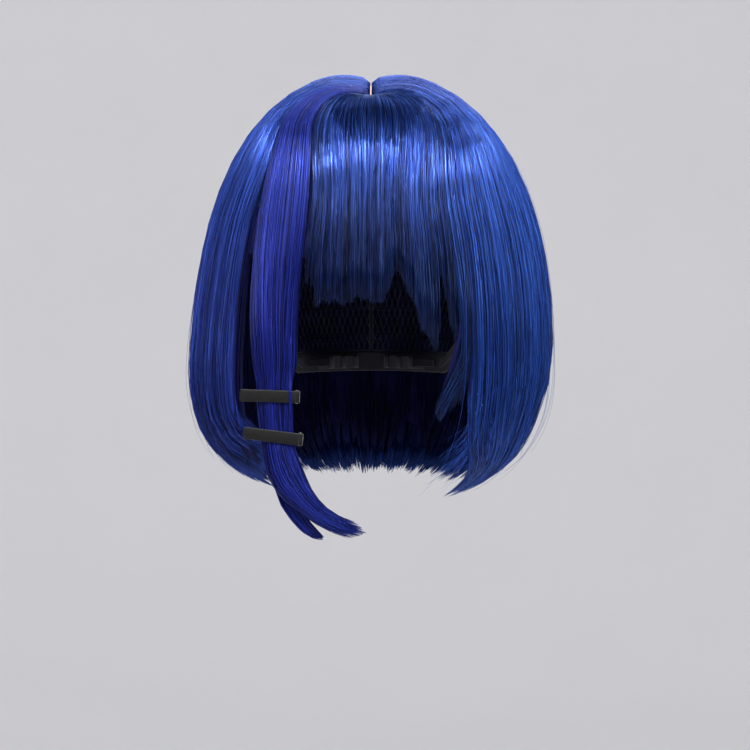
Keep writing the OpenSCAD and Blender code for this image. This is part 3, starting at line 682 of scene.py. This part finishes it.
def make_loose_hairs():
    """Single hairs that stand away from the hem and the crown."""
    count, rings = 70, 26
    t = np.linspace(0, 1, rings)[None]
    bearing = draws(-180, 180, count)
    clear_of_lock = np.where((bearing > -66) & (bearing < 30), 100, 0)
    bearing = bearing + clear_of_lock + RNG.normal(0, 5, count)[:, None] * t ** 2
    end = draws(118, 152, count)
    f = mix(draws(10, 100, count), end, t)
    lift = draws(0.5, 8.5, count) * t ** draws(1.2, 3, count)
    sway = 0.5 * np.sin(t * draws(4, 12, count) + bearing) * ramp(0, 0.3, t)
    free_hairs("loose_hairs", bearing, f, 1.5 * (1 - ramp(0, 0.2, t)) - lift - sway, (0.26, 0.4), 0.8, 0.9)


def make_edge_wisps():
    """Thin hairs that leave the front edge of the left curtain and curl in towards the face."""
    count, rings = 90, 20
    t = np.linspace(0, 1, rings)[None]
    start = draws(96, 112, count)
    f = mix(start, start + draws(14, 30, count), t)
    turn = draws(2, 13, count) * t ** draws(1.5, 3, count)
    bearing = draws(34, 42, count) + 3 * ramp(100, 130, f) - turn
    free_hairs("curtain_wisps", bearing, f, draws(1, 5, count) + 4 * t ** 2, (0.4, 0.3), 0.6, 0.8)


def make_side_lock():
    outer = tubes("sidelock_hair", *lock_strands(765, (0.55, 1.0), (0.88, 1.0)))
    assign(outer, LOCK, None, "lock_blue", "sidelock_root", "sidelock_tail")
    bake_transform(outer)
    inner = tubes("sidelock_hair_inner", *lock_strands(700, (0.0, 0.7), (0.8, 0.97), width=1.5))
    assign(inner, LOCK, None, "lock_blue")
    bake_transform(inner)
    count, rings = 260, 16
    a = RNG.uniform(-1, 1, count)
    t = draws(-1, 1, count)
    s = np.linspace(0, 1, rings)[None] * draws(0.8, 1.0, count)
    x, z, sx, sz, w, th = along_line(SHORT_LINE, s)
    aw = a[:, None] * w / 2
    paths = stack(x + sx * aw, -LOCK_Y + SHORT_OFF * ramp(-0.3, 0.3, s) + t * th / 2, z + sz * aw)
    widths = 0.8 * mix(0.3, 1, ramp(0, 0.3, s)) * mix(1, 0.15, ramp(0.7, 1, s))
    own = np.clip(0.5 + RNG.normal(0, 0.24, count), 0, 1)
    short = tubes("sidelock_short_hair", paths, unit(facing(a)), widths, stack(own[:, None], s, 0.5))
    assign(short, LOCK, "side_lock", "lock_blue", "sidelock_short_tip")

    # A thin wisp that the upper clip has missed hangs in front of it
    count, rings = 16, 24
    t = np.linspace(0, 1, rings)[None]
    z = mix(-8, -84 + draws(-6, 4, count), t)
    x = -49.6 + RNG.normal(0, 0.5, count)[:, None] + 0.8 * np.sin(3 * t) + 0.2 * np.sin(9 * t)
    over_clip = 1.6 * np.exp(-((z + 61) / 9) ** 2)
    y = -LOCK_Y - mix(1, 4.2, ramp(0, 0.35, t)) - over_clip + draws(0, 0.7, count)
    wisp = tubes("sidelock_wisp", stack(x, y, z), [0, -1, 0], 0.45 * mix(1, 0.3, t), stack(0.7, t, 0.7), 0.7)
    assign(wisp, LOCK, "side_lock", "lock_blue")


# ---- Small pieces: shared shapes
def climb_z(z0, top, u):
    """Height on the dome for u from the rim (0) to the crown (1)."""
    a0 = np.degrees(np.arcsin((np.abs(z0) / top) ** (1 / DOME_E))) * np.sign(z0)
    a = mix(a0, 90, u)
    return np.sign(a) * top * np.abs(sin_d(a)) ** DOME_E


def to_ends(n):
    """n places from -1 to 1, close together at both ends."""
    return np.sin(np.linspace(-np.pi / 2, np.pi / 2, n))


def soft_edge(inside, radius, least):
    """Share of the thickness left at a distance inside a rounded edge."""
    return np.sqrt(np.clip(1 - (1 - np.clip(inside / radius, 0, 1)) ** 2, least, 1))


def pillow(w, power, least):
    """Share of the thickness left at w, from -1 to 1 across a piece."""
    return np.sqrt(np.clip(1 - np.abs(w) ** power, least, 1))


def threads(name, paths, normals, size, flat=0.8, shade=0.5):
    """Round threads of one thickness; paths are (threads, rings, 3)."""
    count, rings, _ = paths.shape
    draw = np.clip(shade + RNG.normal(0, 0.15, count), 0, 1)
    tones = stack(draw[:, None], np.linspace(0, 1, rings), RNG.random(count)[:, None])
    return tubes(name, paths, normals, size, tones, flat)


def merged(name, *objects):
    """One object from several that are at the origin."""
    mesh = bpy.data.meshes.new(name)
    bm = bmesh.new()
    for obj in objects:
        bm.from_mesh(obj.data)
        bpy.data.objects.remove(obj)
    bm.to_mesh(mesh)
    bm.free()
    for face in mesh.polygons:
        face.use_smooth = True
    return new_object(name, mesh)


def sewn(name, rows):
    assign(merged(name + "_stitching", *rows), THREAD, "wig", "cap_elastic")


def band_shell(name, point, across, length, pitch, thick, off, rib=0.12, edge=0.5):
    """Ribbed elastic: point(u, w, off) gives places for u along, w across; across and length are in mm."""
    u = np.linspace(0, 1, int(length / pitch * 4) + 1)[None]
    w = to_ends(13)[:, None] * 0.5 + 0.5
    from_edge = np.minimum(w, 1 - w) * across
    wave = 0.5 + 0.5 * np.cos(u * length / pitch * 2 * np.pi)
    ridge = rib * wave * np.clip(from_edge / 1.5, 0, 1)
    mid = off + thick / 2
    half = thick / 2 * soft_edge(from_edge, edge, 0.02)
    outer, inner = point(u, w, mid + half - ridge), point(u, w, mid - half + ridge * 0.6)
    return grid_shell(name, outer, inner, wave, w, np.abs(2 * w - 1), u)


def stitches(point, length, w_at, off, zig=0.0, size=0.32):
    """Row of sewn stitches along a band at share w_at of its width; zig makes it a zigzag."""
    pitch, stitch = 2.2, 1.5
    count = max(2, int(length / pitch))
    k = np.linspace(0, 1, 5)[None]
    u = ((np.arange(count) + 0.15) / count)[:, None] + k * stitch / length
    w = w_at + np.where(np.arange(count) % 2, 1, -1)[:, None] * zig * (2 * k - 1)
    lift = off + 0.22 * np.sin(np.pi * k) - 0.12
    paths = point(u, w, lift)
    return threads("row", paths, unit(point(u, w, lift + 1) - paths), size)


# ---- Cap
NET_END = 0.965
BAND_T = 1.6
NAPE_SEAM = 120
FRONT_SEAM = 45
TAB_AT = 57


def make_net(node, b0, b1):
    """Panel of knotted net: two families of slanting threads, and a cord along its edges."""
    cells, slant = 30, 0.72
    parts = []

    def place(u, w, off):
        b = mix(b0 + 0.7, b1 - 0.7, u)
        return cap_point(b, climb_z(rim_z(b) + BAND_H + 0.8, CROWN_H + off, NET_END * w), off)

    for sign in (1, -1):
        low, high = (-cells * slant, cells) if sign > 0 else (0, cells * (1 + slant))
        first = np.arange(low, high) / cells + 0.01
        w0 = np.clip(np.where(sign > 0, -first / slant, (first - 1) / slant), 0, 1)
        w1 = np.clip(np.where(sign > 0, (1 - first) / slant, first / slant), 0, 1)
        keep = w1 - w0 > 0.03
        w = mix(w0[keep, None], w1[keep, None], np.linspace(0, 1, 44)[None])
        u = first[keep, None] + sign * slant * w
        off = 0.6 + 0.16 * sign * np.sin(u * cells * np.pi)
        paths = place(u, w, off)
        parts.append(threads("family", paths, unit(place(u, w, off + 1) - paths), 0.42))
    t = np.linspace(0, 1, 60)
    edges = np.stack([place(u, w, 0.6) for u, w in ((t, 0 * t), (t, 0 * t + 1), (0 * t, t), (0 * t + 1, t))])
    parts.append(threads("edge", edges, unit(edges), 0.9, 1.0))
    assign(merged(node + "_mesh", *parts), NET, "wig", "cap_net", node)


def make_band(node, b0, b1):
    def place(u, w, off):
        b = mix(b0, b1, u)
        return cap_point(b, rim_z(b) + w * BAND_H, off)

    length = 0.9 * np.radians(b1 - b0) * (HEAD_W + HEAD_D) / 4 * (1.35 if b0 > 0 else 1.1)
    band = band_shell(node + "_elastic", place, BAND_H, length, 1.7, BAND_T, 0.0)
    assign(band, ELASTIC, "wig", "cap_elastic", node)
    sewn(node, [stitches(place, length, w, BAND_T, zig=z) for w, z in ((0.12, 0), (0.84, 0.05), (0.93, 0))])


def make_ear_tab(side, sign):
    def place(u, w, off):
        b = TAB_AT + 8 * (1 - 0.45 * (1 - w)) * (2 * u - 1)
        return cap_point(b, mix(-26 + 3 * (2 * u - 1) ** 2, rim_z(b) - 0.6, w), off, sign)

    w = np.linspace(0, 1, 40)[:, None]
    u = np.linspace(0, 1, 21)[None]
    edge = np.minimum(np.minimum(u, 1 - u) * 18, np.minimum(w, 1 - w) * 50)
    half = 0.65 * soft_edge(edge, 0.9, 0.04)
    rib = 0.1 * np.cos(w * 2 * np.pi * 20) * np.clip(edge / 2, 0, 1)
    tab = grid_shell(f"ear_tab_{side}_fabric", place(u, w, 0.65 + half + rib), place(u, w, 0.65 - half),
                     0.5 + 5 * rib, w, u, w)
    assign(tab, ELASTIC, "wig", "cap_elastic", f"ear_tab_{side}")
    sewn(f"ear_tab_{side}", [stitches(lambda s, _, off: place(at, s, off), 46, 0.5, 1.3)
                             for at in (0.1, 0.34, 0.66, 0.9)])
    w = np.linspace(0, 1, 26)[:, None]
    u = np.linspace(-1, 1, 9)[None]
    narrow = np.sqrt(np.clip(1 - (np.clip(np.abs(2 * w - 1) - 0.94, 0, 1) / 0.06) ** 2, 0.03, 1))

    def stay(off):
        return cap_point(TAB_AT + 1.4 * u * narrow, mix(-21, rim_z(TAB_AT) - 4, w), off, sign)

    bevel = 0.3 * pillow(u, 6, 0.08)
    metal = grid_shell(f"ear_stay_{side}_metal", stay(1.9 + bevel), stay(1.9 - bevel), np.abs(u), w, 0, 0)
    assign(metal, STEEL, "wig", "bright_steel", f"ear_stay_{side}")


def make_tape(node, turned, semi, z0, z1, off):
    """Woven tape over the crown; turned tapes run front to back."""
    wide = 12

    def place(u, w, o):
        a0 = -90 + np.degrees(np.arcsin((z0 / (CROWN_H + o)) ** (1 / DOME_E)))
        a1 = 90 - np.degrees(np.arcsin((z1 / (CROWN_H + o)) ** (1 / DOME_E)))
        a = mix(a0, a1, u)
        along = (semi + o) * np.sign(a) * np.abs(sin_d(a)) ** DOME_E
        up = (CROWN_H + o) * cos_d(a) ** DOME_E
        cross = (w - 0.5) * wide
        return stack(cross, -along, up) if turned else stack(along, cross, up)

    length = 1.25 * (semi + CROWN_H) - 0.5 * (z0 + z1)
    band = band_shell(node + "_tape", place, wide, length, 1.5, 0.7, off, 0.08, 0.35)
    assign(band, ELASTIC, "wig", "cap_elastic", node)
    sewn(node, [stitches(place, length, w, off + 0.7) for w in (0.08, 0.92)])


def make_skin():
    """Strip of skin film under the parting."""
    front, back, half_wide, off = -52, 30, 7, 3.5
    y = np.linspace(front, back, 60)[:, None]
    w = np.linspace(-1, 1, 17)[None]

    def place(t):
        z = (CROWN_H + off + t) * powp(1 - powp(np.abs(y) / (HEAD_D / 2 + off), 2 / DOME_E), DOME_E / 2)
        return stack(half_wide * w, y, z + 0.35 * (1 - w ** 2))

    edge = 0.4 * pillow(w, 8, 0.05)
    skin = grid_shell("parting_skin_patch", place(0.4 + edge), place(0.4 - edge),
                      np.abs(w), (y - front) / (back - front), 0, 0)
    assign(skin, SKIN, "wig", "skin_patch", "parting_skin")


def make_wefts(node, rows, sign=1):
    """Rows of weft: three binding cords with hair looped over them; rows are (bearing, bearing, height)."""
    parts = []
    for b0, b1, z in rows:
        t = np.linspace(b0 + 0.4, b1 - 0.4, 60)
        cords = np.stack([cap_point(t, z + h, 4.5, sign) for h in (0.5, 1.5, 2.5)])
        parts.append(threads("cord", cords, unit(cords * [1, 1, 0]), 1.05, 0.9, 0.3))
        count = int(np.radians(b1 - b0) * 85 / 1.1)
        b = (b0 + 0.6 + (b1 - b0 - 1.4) * (np.arange(count) + 0.5) / count)[:, None]
        k = np.linspace(0, 1, 7)[None]
        lean = 0.5 * np.where(np.arange(count) % 2, 1, -1)[:, None] * (2 * k - 1)
        loops = cap_point(b + lean, z + 0.1 + 2.8 * k, 4.55 + 0.62 * np.sin(np.pi * k) ** 0.5, sign)
        parts.append(threads("loop", loops, unit(loops * [1, 1, 0]), 0.5, 0.9, 0.6))
    assign(merged(node + "_rows", *parts), SHADE, "wig", "hair_dark", node)


# ---- Adjusters
LOOPS_AT = (3, 12, 21)
HOOK_Y = -2.1
SLOT_X = 36.8


def slab(name, place, x, y, z, bevel):
    """Rounded slab between pairs of limits, as a grid shell along x and z with thickness in y."""
    gx = mix(x[0], x[1], to_ends(int((x[1] - x[0]) * 1.5) + 9) * 0.5 + 0.5)[None]
    w = to_ends(17)[:, None] * 0.5 + 0.5
    gz = mix(z[0], z[1], w)
    edge = np.minimum(np.minimum(gx - x[0], x[1] - gx), np.minimum(gz - z[0], z[1] - gz))
    half = (y[1] - y[0]) / 2 * soft_edge(edge, bevel, 0.05)
    mid = (y[0] + y[1]) / 2
    return grid_shell(name, place(stack(gx, mid - half, gz)), place(stack(gx, mid + half, gz)),
                      0.5 + 0.5 * np.cos(gx * 2 * np.pi / 1.3), w, 1 - np.clip(edge / 0.6, 0, 1), 0.5)


def make_adjuster(side, sign):
    turn = np.array(Matrix.Rotation(math.radians(-25), 3, "Z"))

    def place(local):
        """From the adjuster's frame inside the nape band to the wig's."""
        return (local @ turn.T + np.array([9, 84, -51.5])) * np.array([sign, 1, 1])

    parts = [slab("base", place, (0, 30), (-1, 0), (-4.5, 4.5), 0.5)]
    t = np.linspace(0, 1, 40)[:, None]
    w = np.linspace(-1, 1, 9)[None]
    angle = np.pi * (t - 0.5)
    rise = powp(np.cos(angle), 0.35)
    z = 4.15 * np.sin(angle) / np.abs(np.sin(angle)).max()
    edge = 0.35 * pillow(w, 6, 0.06)
    for at in LOOPS_AT:
        outer, inner = (place(stack(at + 1.5 * w, -0.75 - (2.45 + o) * rise, z)) for o in (edge, -edge))
        parts.append(grid_shell("loop", outer, inner, 0.5 + 0.5 * np.cos(t * 60), t, np.abs(w), 0))
    tapes = merged(f"adjuster_loops_{side}_tape", *parts)
    assign(tapes, ELASTIC, "wig", "cap_elastic", f"adjuster_loops_{side}")
    rows = []
    k = np.linspace(0, 1, 5)
    for at in LOOPS_AT:
        for z in (-3.8, 3.8):
            x0 = at + np.array([-1.1, -0.3, 0.5])[:, None]
            line = place(stack(x0 + 0.6 * k, -1.6 - 0.25 * np.sin(np.pi * k), z))
            rows.append(threads("sewn", line, [0, -sign * 0.1, 1.0], 0.28))
    sewn(f"adjuster_loops_{side}", rows)

    # Hook: flat plate with a round nose and a slot for the strap
    k = np.linspace(0, 2 * np.pi, 97)[:-1]
    cos, sin = np.cos(k), np.sin(k)
    half_w, nose, tail = 2.6, 19, 39
    ring_x = np.where(cos < 0, nose + half_w + half_w * cos, mix(nose + half_w, tail, powp(np.abs(cos), 0.25)))
    ring_z = half_w * np.sign(sin) * np.abs(sin) ** np.where(cos < 0, 1.0, 0.3)
    slot_x = np.sign(cos) * np.abs(cos) ** 0.3
    slot_z = 1.6 * np.sign(sin) * np.abs(sin) ** 0.3
    middle = mix(ring_x.min(), ring_x.max(), 0.5)
    rings = [stack(middle + (ring_x - middle) * (1 + grow / 10), HOOK_Y + y, ring_z * (1 + grow / half_w))
             for grow, y in ((-0.3, -0.6), (-0.08, -0.5), (0, -0.3), (0, 0.3), (-0.08, 0.5), (-0.3, 0.6))]
    rings += [stack(SLOT_X + slot_x * (1 + grow), HOOK_Y + y, slot_z * (1 + grow / 1.6))
              for grow, y in ((0.2, 0.6), (0, 0.45), (0, -0.45), (0.2, -0.6))]
    wear = np.repeat([0.2, 1, 0.6, 0.6, 1, 0.2, 0.2, 0.8, 0.8, 0.2], len(k))[:, None] * np.ones(4)
    hook = fix_normals(mesh_object(f"adjuster_hook_{side}_plate", place(np.array(rings)),
                                   ring_quads(len(rings), len(k), True), wear, smooth=False))
    assign(hook, PLASTIC, f"adjuster_{side}", "hook_plastic", f"adjuster_hook_{side}")

    def strap_place(u, w, off):
        b = mix(114, 136.5, u)
        return cap_point(b, mix(-51.5, -26, ramp(138, 114, b)) - 3.5 + 7 * w, off, sign)

    band = band_shell("band", strap_place, 7, 42, 1.2, 0.9, -2.3, 0.12, 0.4)
    rows = [stitches(strap_place, 42, w, -2.35, size=0.25) for w in (0.12, 0.88)]
    strap = merged(f"adjuster_strap_{side}_elastic", band, *rows)
    assign(strap, ELASTIC, None, "cap_elastic", f"adjuster_strap_{side}")
    start, end = strap_place(np.array([0.06, 0.94]), 0.5, -1.9) * MM
    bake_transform(strap)


# ---- Hair clips
CLIP_L, CLIP_H, CLIP_T, CLIP_GAP = 36.5, 7.5, 0.9, 7.2
PIN_X, PIN_Y, PIN_R = 34.6, 2.6, 0.7
LUG_R = 1.9


def lathe(name, place, profile, sides=32):
    """Closed turned piece about the pin's line; profile is a closed list of (radius, height)."""
    profile = np.array(profile, float)
    a = np.linspace(0, 2 * np.pi, sides + 1)[:-1]
    r, h = profile[:, :1], profile[:, 1:]
    points = place(stack(PIN_X + r * np.cos(a), PIN_Y + r * np.sin(a), h))
    tone = np.full((len(profile) * sides, 4), 0.5)
    return fix_normals(mesh_object(name, points, ring_quads(len(profile), sides, True), tone))


def make_clip(which, at, tilt):
    turn = np.array(Matrix.Rotation(math.radians(tilt), 3, "Y"))
    bar_body, jaw_body = f"clip_{which}", f"clip_{which}_jaw"

    def place(local):
        return local @ turn.T + np.array([at[0], -LOCK_Y - CLIP_GAP / 2, at[1]])

    # Bar: a flat strip with a crowned face, and two lugs round the pin
    w = to_ends(25)[:, None]
    u = np.concatenate([1 - np.cos(np.linspace(0, np.pi / 2, 14)), np.linspace(1.2, CLIP_L - 0.5, 70),
                        CLIP_L - 0.4 * (1 - np.sin(np.linspace(0.1, np.pi / 2, 6)))])[None]
    corner = np.where(u < 1, CLIP_H / 2 - 1 + np.sqrt(np.clip(1 - (1 - u) ** 2, 0, 1)), CLIP_H / 2)
    z = w * corner
    edge = np.minimum(corner - np.abs(z), np.minimum(u, CLIP_L - u))
    half = CLIP_T / 2 * soft_edge(edge, 0.38, 0.02)
    crown = 0.22 * (1 - (z / (CLIP_H / 2)) ** 2) * ramp(0, 2, u)
    front = place(stack(u, -CLIP_T / 2 - half - crown + 0.12, z))
    back = place(stack(u, -CLIP_T / 2 + half - crown * 0.6, z))
    parts = [grid_shell("face", front, back, 1 - np.clip(edge / 0.45, 0, 1), u / CLIP_L, 0.5, 0.5)]
    for sign in (-1, 1):
        nose = PIN_Y + LUG_R * np.sin(np.linspace(0.1, 1.5, 12))
        gy = np.concatenate([[-0.5], np.linspace(-0.3, PIN_Y, 8), nose])[:, None]
        wide = np.where(gy < PIN_Y, LUG_R, np.sqrt(np.clip(LUG_R ** 2 - (gy - PIN_Y) ** 2, 0.02, 9)))
        k = np.linspace(-1, 1, 13)[None]
        near = np.minimum(wide * (1 - np.abs(k)), PIN_Y + LUG_R - gy)
        thick = 0.35 * soft_edge(near, 0.25, 0.05)
        level = sign * (CLIP_H / 2 - 0.35)
        top, low = (place(stack(PIN_X + wide * k, gy, level + side)) for side in (thick, -thick))
        parts.append(grid_shell("lug", top, low, 1 - np.clip(near / 0.4, 0, 1), 0, 0, 0))
    assign(merged(f"clip_{which}_bar_metal", *parts), CLIP, bar_body, "clip_black", f"clip_{which}_bar")
    for name, x, y, reach, size, metal, slot in (("rim", 0.02, 0.1, 3.4, 0.3, STEEL, "bright_steel"),
                                                 ("fold", -2.3, 0.14, 3.45, 0.34, CLIP, "clip_black")):
        line = place(stack(CLIP_L + x, -CLIP_T - y, np.linspace(-reach, reach, 30)))[None]
        assign(threads(f"clip_{which}_{name}", line, [0, -1, 0], size, 0.9, 0.9), metal, bar_body, slot)

    # Jaw: a bent strip with toothed edges, two ears round the pin and two short prongs as its heel
    line = np.array([[2, 8.0], [4, 7.62], [12, 7.62], [20, 7.62], [28, 7.62], [31.6, 7.55],
                     [32.6, 6.9], [33.3, 5.4]])
    s = np.linspace(0, 1, 150)
    step = np.concatenate([[0], np.cumsum(np.linalg.norm(np.diff(line, axis=0), axis=1))])
    x, y = (np.interp(s * step[-1], step, line[:, k]) for k in range(2))
    smooth = np.ones(7) / 7
    x[3:-3], y[3:-3] = np.convolve(x, smooth, "valid"), np.convolve(y, smooth, "valid")
    nx, ny = normal_of(x, y)
    teeth = 0.28 * np.abs(2 * ((s * 22) % 1) - 1) * (x < 31)
    half_h = 2.8 - teeth - 1.2 * np.clip((3.5 - x) / 1.5, 0, 1) ** 2
    z = to_ends(17)[:, None] * half_h
    edge = half_h - np.abs(z)
    groove = 0.22 * np.exp(-(z / 0.7) ** 2) * ((x > 6) & (x < 28))
    thick = 0.45 * soft_edge(edge, 0.3, 0.04)
    outer, inner = (place(stack(x + nx * d, y + ny * d, z)) for d in (thick + groove, groove - thick))
    parts = [grid_shell("strip", outer, inner, 1 - np.clip(edge / 0.5, 0, 1), s, 0.5, 0.5)]
    half_ear = [(0.76, 0.4), (0.85, 0.5), (1.45, 0.5), (1.55, 0.38)]
    for mid in (-2.3, 2.3):
        ear = [(r, mid - h) for r, h in half_ear[::-1]] + [(r, mid + h) for r, h in half_ear]
        parts.append(lathe("ear", place, ear))
        k = np.linspace(0, 1, 16)
        q = np.linspace(-1, 1, 7)[:, None]
        arm = np.array([[33.1, 5.8], [33.5, 4.9], [33.9, 4.2], [34.7, 3.9], [35.6, 4.1], [36.4, 4.7]])
        x, y = (np.interp(k, np.linspace(0, 1, len(arm)), arm[:, c]) for c in range(2))
        nx, ny = normal_of(x, y)
        th = 0.42 * pillow(q, 4, 0.1)
        up, low = (place(stack(x + nx * d, y + ny * d, mid + 0.48 * q)) for d in (th, -th))
        parts.append(grid_shell("arm", up, low, *[0.8 * np.abs(q)] * 4))
    assign(merged(f"clip_{which}_jaw_metal", *parts), CLIP, jaw_body, "clip_black", f"clip_{which}_jaw")

    top = CLIP_H / 2 + 0.05
    head = [(0.02, 0.385), (0.08, 0.38), (0.6, 0.34), (1.0, 0.26), (1.2, 0.14), (1.2, 0.03), (0.72, 0.0)]
    foot = [(r, -top - h) for r, h in head[::-1]]
    profile = [(r, top + h) for r, h in head] + [(PIN_R, 0.5), (PIN_R, -0.5)] + foot
    pin = lathe(f"clip_{which}_pin_metal", place, profile, 28)
    assign(pin, STEEL, bar_body, "bright_steel", f"clip_{which}_pin")

    turns, wire = 5, 0.34
    radius = PIN_R + 0.15 + wire
    t = np.linspace(0, 1, 24 * turns)
    a = 2 * np.pi * turns * t + 0.6
    coil = stack(PIN_X + radius * np.cos(a), PIN_Y + radius * np.sin(a), (t - 0.5) * 1.8 * wire * (turns - 1))
    leg = np.linspace(0, 1, 8)[1:, None]
    first = coil[0] + (np.array([31.5, 6.6, coil[0, 2]]) - coil[0]) * leg[::-1]
    last = coil[-1] + (np.array([31.6, 0.55, coil[-1, 2]]) - coil[-1]) * leg
    path = place(np.concatenate([first, coil, last]))[None]
    outward = unit(path - place(np.array([PIN_X, PIN_Y, 0.0])))
    spring = tubes(f"clip_{which}_spring_wire", path, outward, 2 * wire, 0.5, 1.0, 12)
    assign(spring, STEEL, bar_body, "bright_steel", f"clip_{which}_spring")


def normal_of(x, y):
    """Unit normal along a flat line of points."""
    dx, dy = np.gradient(x), np.gradient(y)
    size = np.hypot(dx, dy)
    return -dy / size, dx / size


def make_cap():
    for side, first in (("left", (0, 90)), ("right", (-90, -180))):
        for part, b0 in zip(("front", "back"), first):
            make_net(f"cap_net_{part}_{side}", b0, b0 + 90)
    make_band("cap_front_band", -FRONT_SEAM, FRONT_SEAM)
    make_band("cap_side_band_left", FRONT_SEAM + 0.6, NAPE_SEAM)
    make_band("cap_side_band_right", -NAPE_SEAM, -FRONT_SEAM - 0.6)
    make_band("cap_nape_band", NAPE_SEAM + 0.6, 360 - NAPE_SEAM - 0.6)
    over_band = RIM_EAR + BAND_H + 1
    make_tape("crown_tape_lengthwise", True, HEAD_D / 2, 16, RIM_FRONT + BAND_H + 1, 1.5)
    make_tape("crown_tape_crosswise", False, HEAD_W / 2, over_band, over_band, 2.5)
    make_skin()
    back = [(132 if i < 4 else 94, 228 if i < 4 else 266, mix(RIM_NAPE + 2, 98, i / 8)) for i in range(9)]
    make_wefts("weft_tracks_back", back)
    side = [(62, 92, mix(over_band, 98, i / 4)) for i in range(5)]
    make_wefts("weft_tracks_left", side)
    make_wefts("weft_tracks_right", side, -1)
    for name, sign in (("left", 1), ("right", -1)):
        make_ear_tab(name, sign)
        make_adjuster(name, sign)


make_cap()
make_clip("upper", (-79.9, -60.4), 2)
make_clip("lower", (-77.8, -83.5), 7)
make_panels()
make_loose_hairs()
make_edge_wisps()
make_side_lock()


# ---- Stage, light and camera
def stage_material():
    """Pale paper with painted shade: greyer towards the front, behind the camera."""
    n = Nodes("stage_paper")
    place = n.place()
    y = n.add("ShaderNodeSeparateXYZ", {"Vector": place}).outputs[1]
    pale = srgb(226, 225, 227)
    paper = n.blend(n.noise(place, 3.0), pale, tuple(c * 0.96 for c in pale[:3]) + (1,))
    # Painted shade: the paper turns greyer towards the front
    return n.set(base_color=n.blend(n.range(y, 0.6, -1.8), paper, srgb(196, 196, 199)), roughness=0.9)


def make_stage():
    """Round pale floor that sweeps up into a wall on every side."""
    reach, bend_r, floor, top, sides = 2.9, 1.2, -0.95, 2.6, 96
    arc = [(reach + bend_r * math.sin(a), floor + bend_r * (1 - math.cos(a)))
           for a in np.linspace(0, math.pi / 2, 24)]
    line = np.array([(0.02, floor), (0.8, floor), (1.8, floor)] + arc + [(reach + bend_r, top)]) / MM
    a = 2 * np.pi * np.arange(sides) / sides
    points = stack(line[:, :1] * np.cos(a), line[:, :1] * np.sin(a), line[:, 1:])
    stage = mesh_object("stage", points, ring_quads(len(line), sides))
    stage.data.materials.append(stage_material())


def aim(obj, place, target):
    obj.location = place
    obj.rotation_euler = (Vector(target) - Vector(place)).to_track_quat("-Z", "Y").to_euler()


make_stage()
WHITE = (1, 1, 1)
for name, place, target, size, power, colour in (
        ("key", (0.05, -1.12, 1.18), (0, -0.05, 0.06), (0.55, 0.16), 24, WHITE),
        ("wide", (0.05, -1.12, 1.22), (0, -0.05, 0.06), (1.7, 0.3), 22, WHITE),
        ("front", (0.05, -1.4, 0.72), (0, -0.05, 0.06), (1.3, 0.35), 9, WHITE),
        ("fill_left", (-1.5, -0.9, 0.45), (0, 0, 0), (0.4, 1.0), 7, WHITE),
        ("fill_right", (1.5, -0.7, 0.55), (0, 0, 0), (0.4, 1.0), 14, (0.9, 0.96, 1)),
        ("rear", (0.2, 1.5, 1.1), (0, 0.1, 0), (1.6, 0.5), 16, WHITE),
        ("top", (0, 0.35, 1.45), (0, 0, 0.1), (1.2, 0.5), 13, WHITE),
        ("backdrop", (0, 1.2, 2.4), (0, 3.6, 0.2), (2.4, 0.8), 20, WHITE)):
    light = bpy.data.lights.new(name, "AREA")
    light.shape = "RECTANGLE"
    light.size, light.size_y = size
    light.energy = power
    light.color = colour
    aim(new_object(name, light), place, target)

world = bpy.data.worlds.new("studio")
world.use_nodes = True
world.node_tree.nodes["Background"].inputs[0].default_value = (0.72, 0.73, 0.76, 1)
world.node_tree.nodes["Background"].inputs[1].default_value = 0.52
bpy.context.scene.world = world
bpy.context.scene.view_settings.view_transform = "Standard"

VIEW_DISTANCE = 1.625
VIEW_ELEVATION = math.radians(4)
VIEW_TARGET = Vector((0.0026, 0, -0.055))
FIELD_WIDTH = 0.4875
camera_data = bpy.data.cameras.new("camera")
camera_data.sensor_width = 36
camera_data.lens = camera_data.sensor_width * VIEW_DISTANCE / FIELD_WIDTH
camera = new_object("camera", camera_data)
toward = Vector((0, -math.cos(VIEW_ELEVATION), math.sin(VIEW_ELEVATION)))
aim(camera, VIEW_TARGET + VIEW_DISTANCE * toward, VIEW_TARGET)
bpy.context.scene.camera = camera
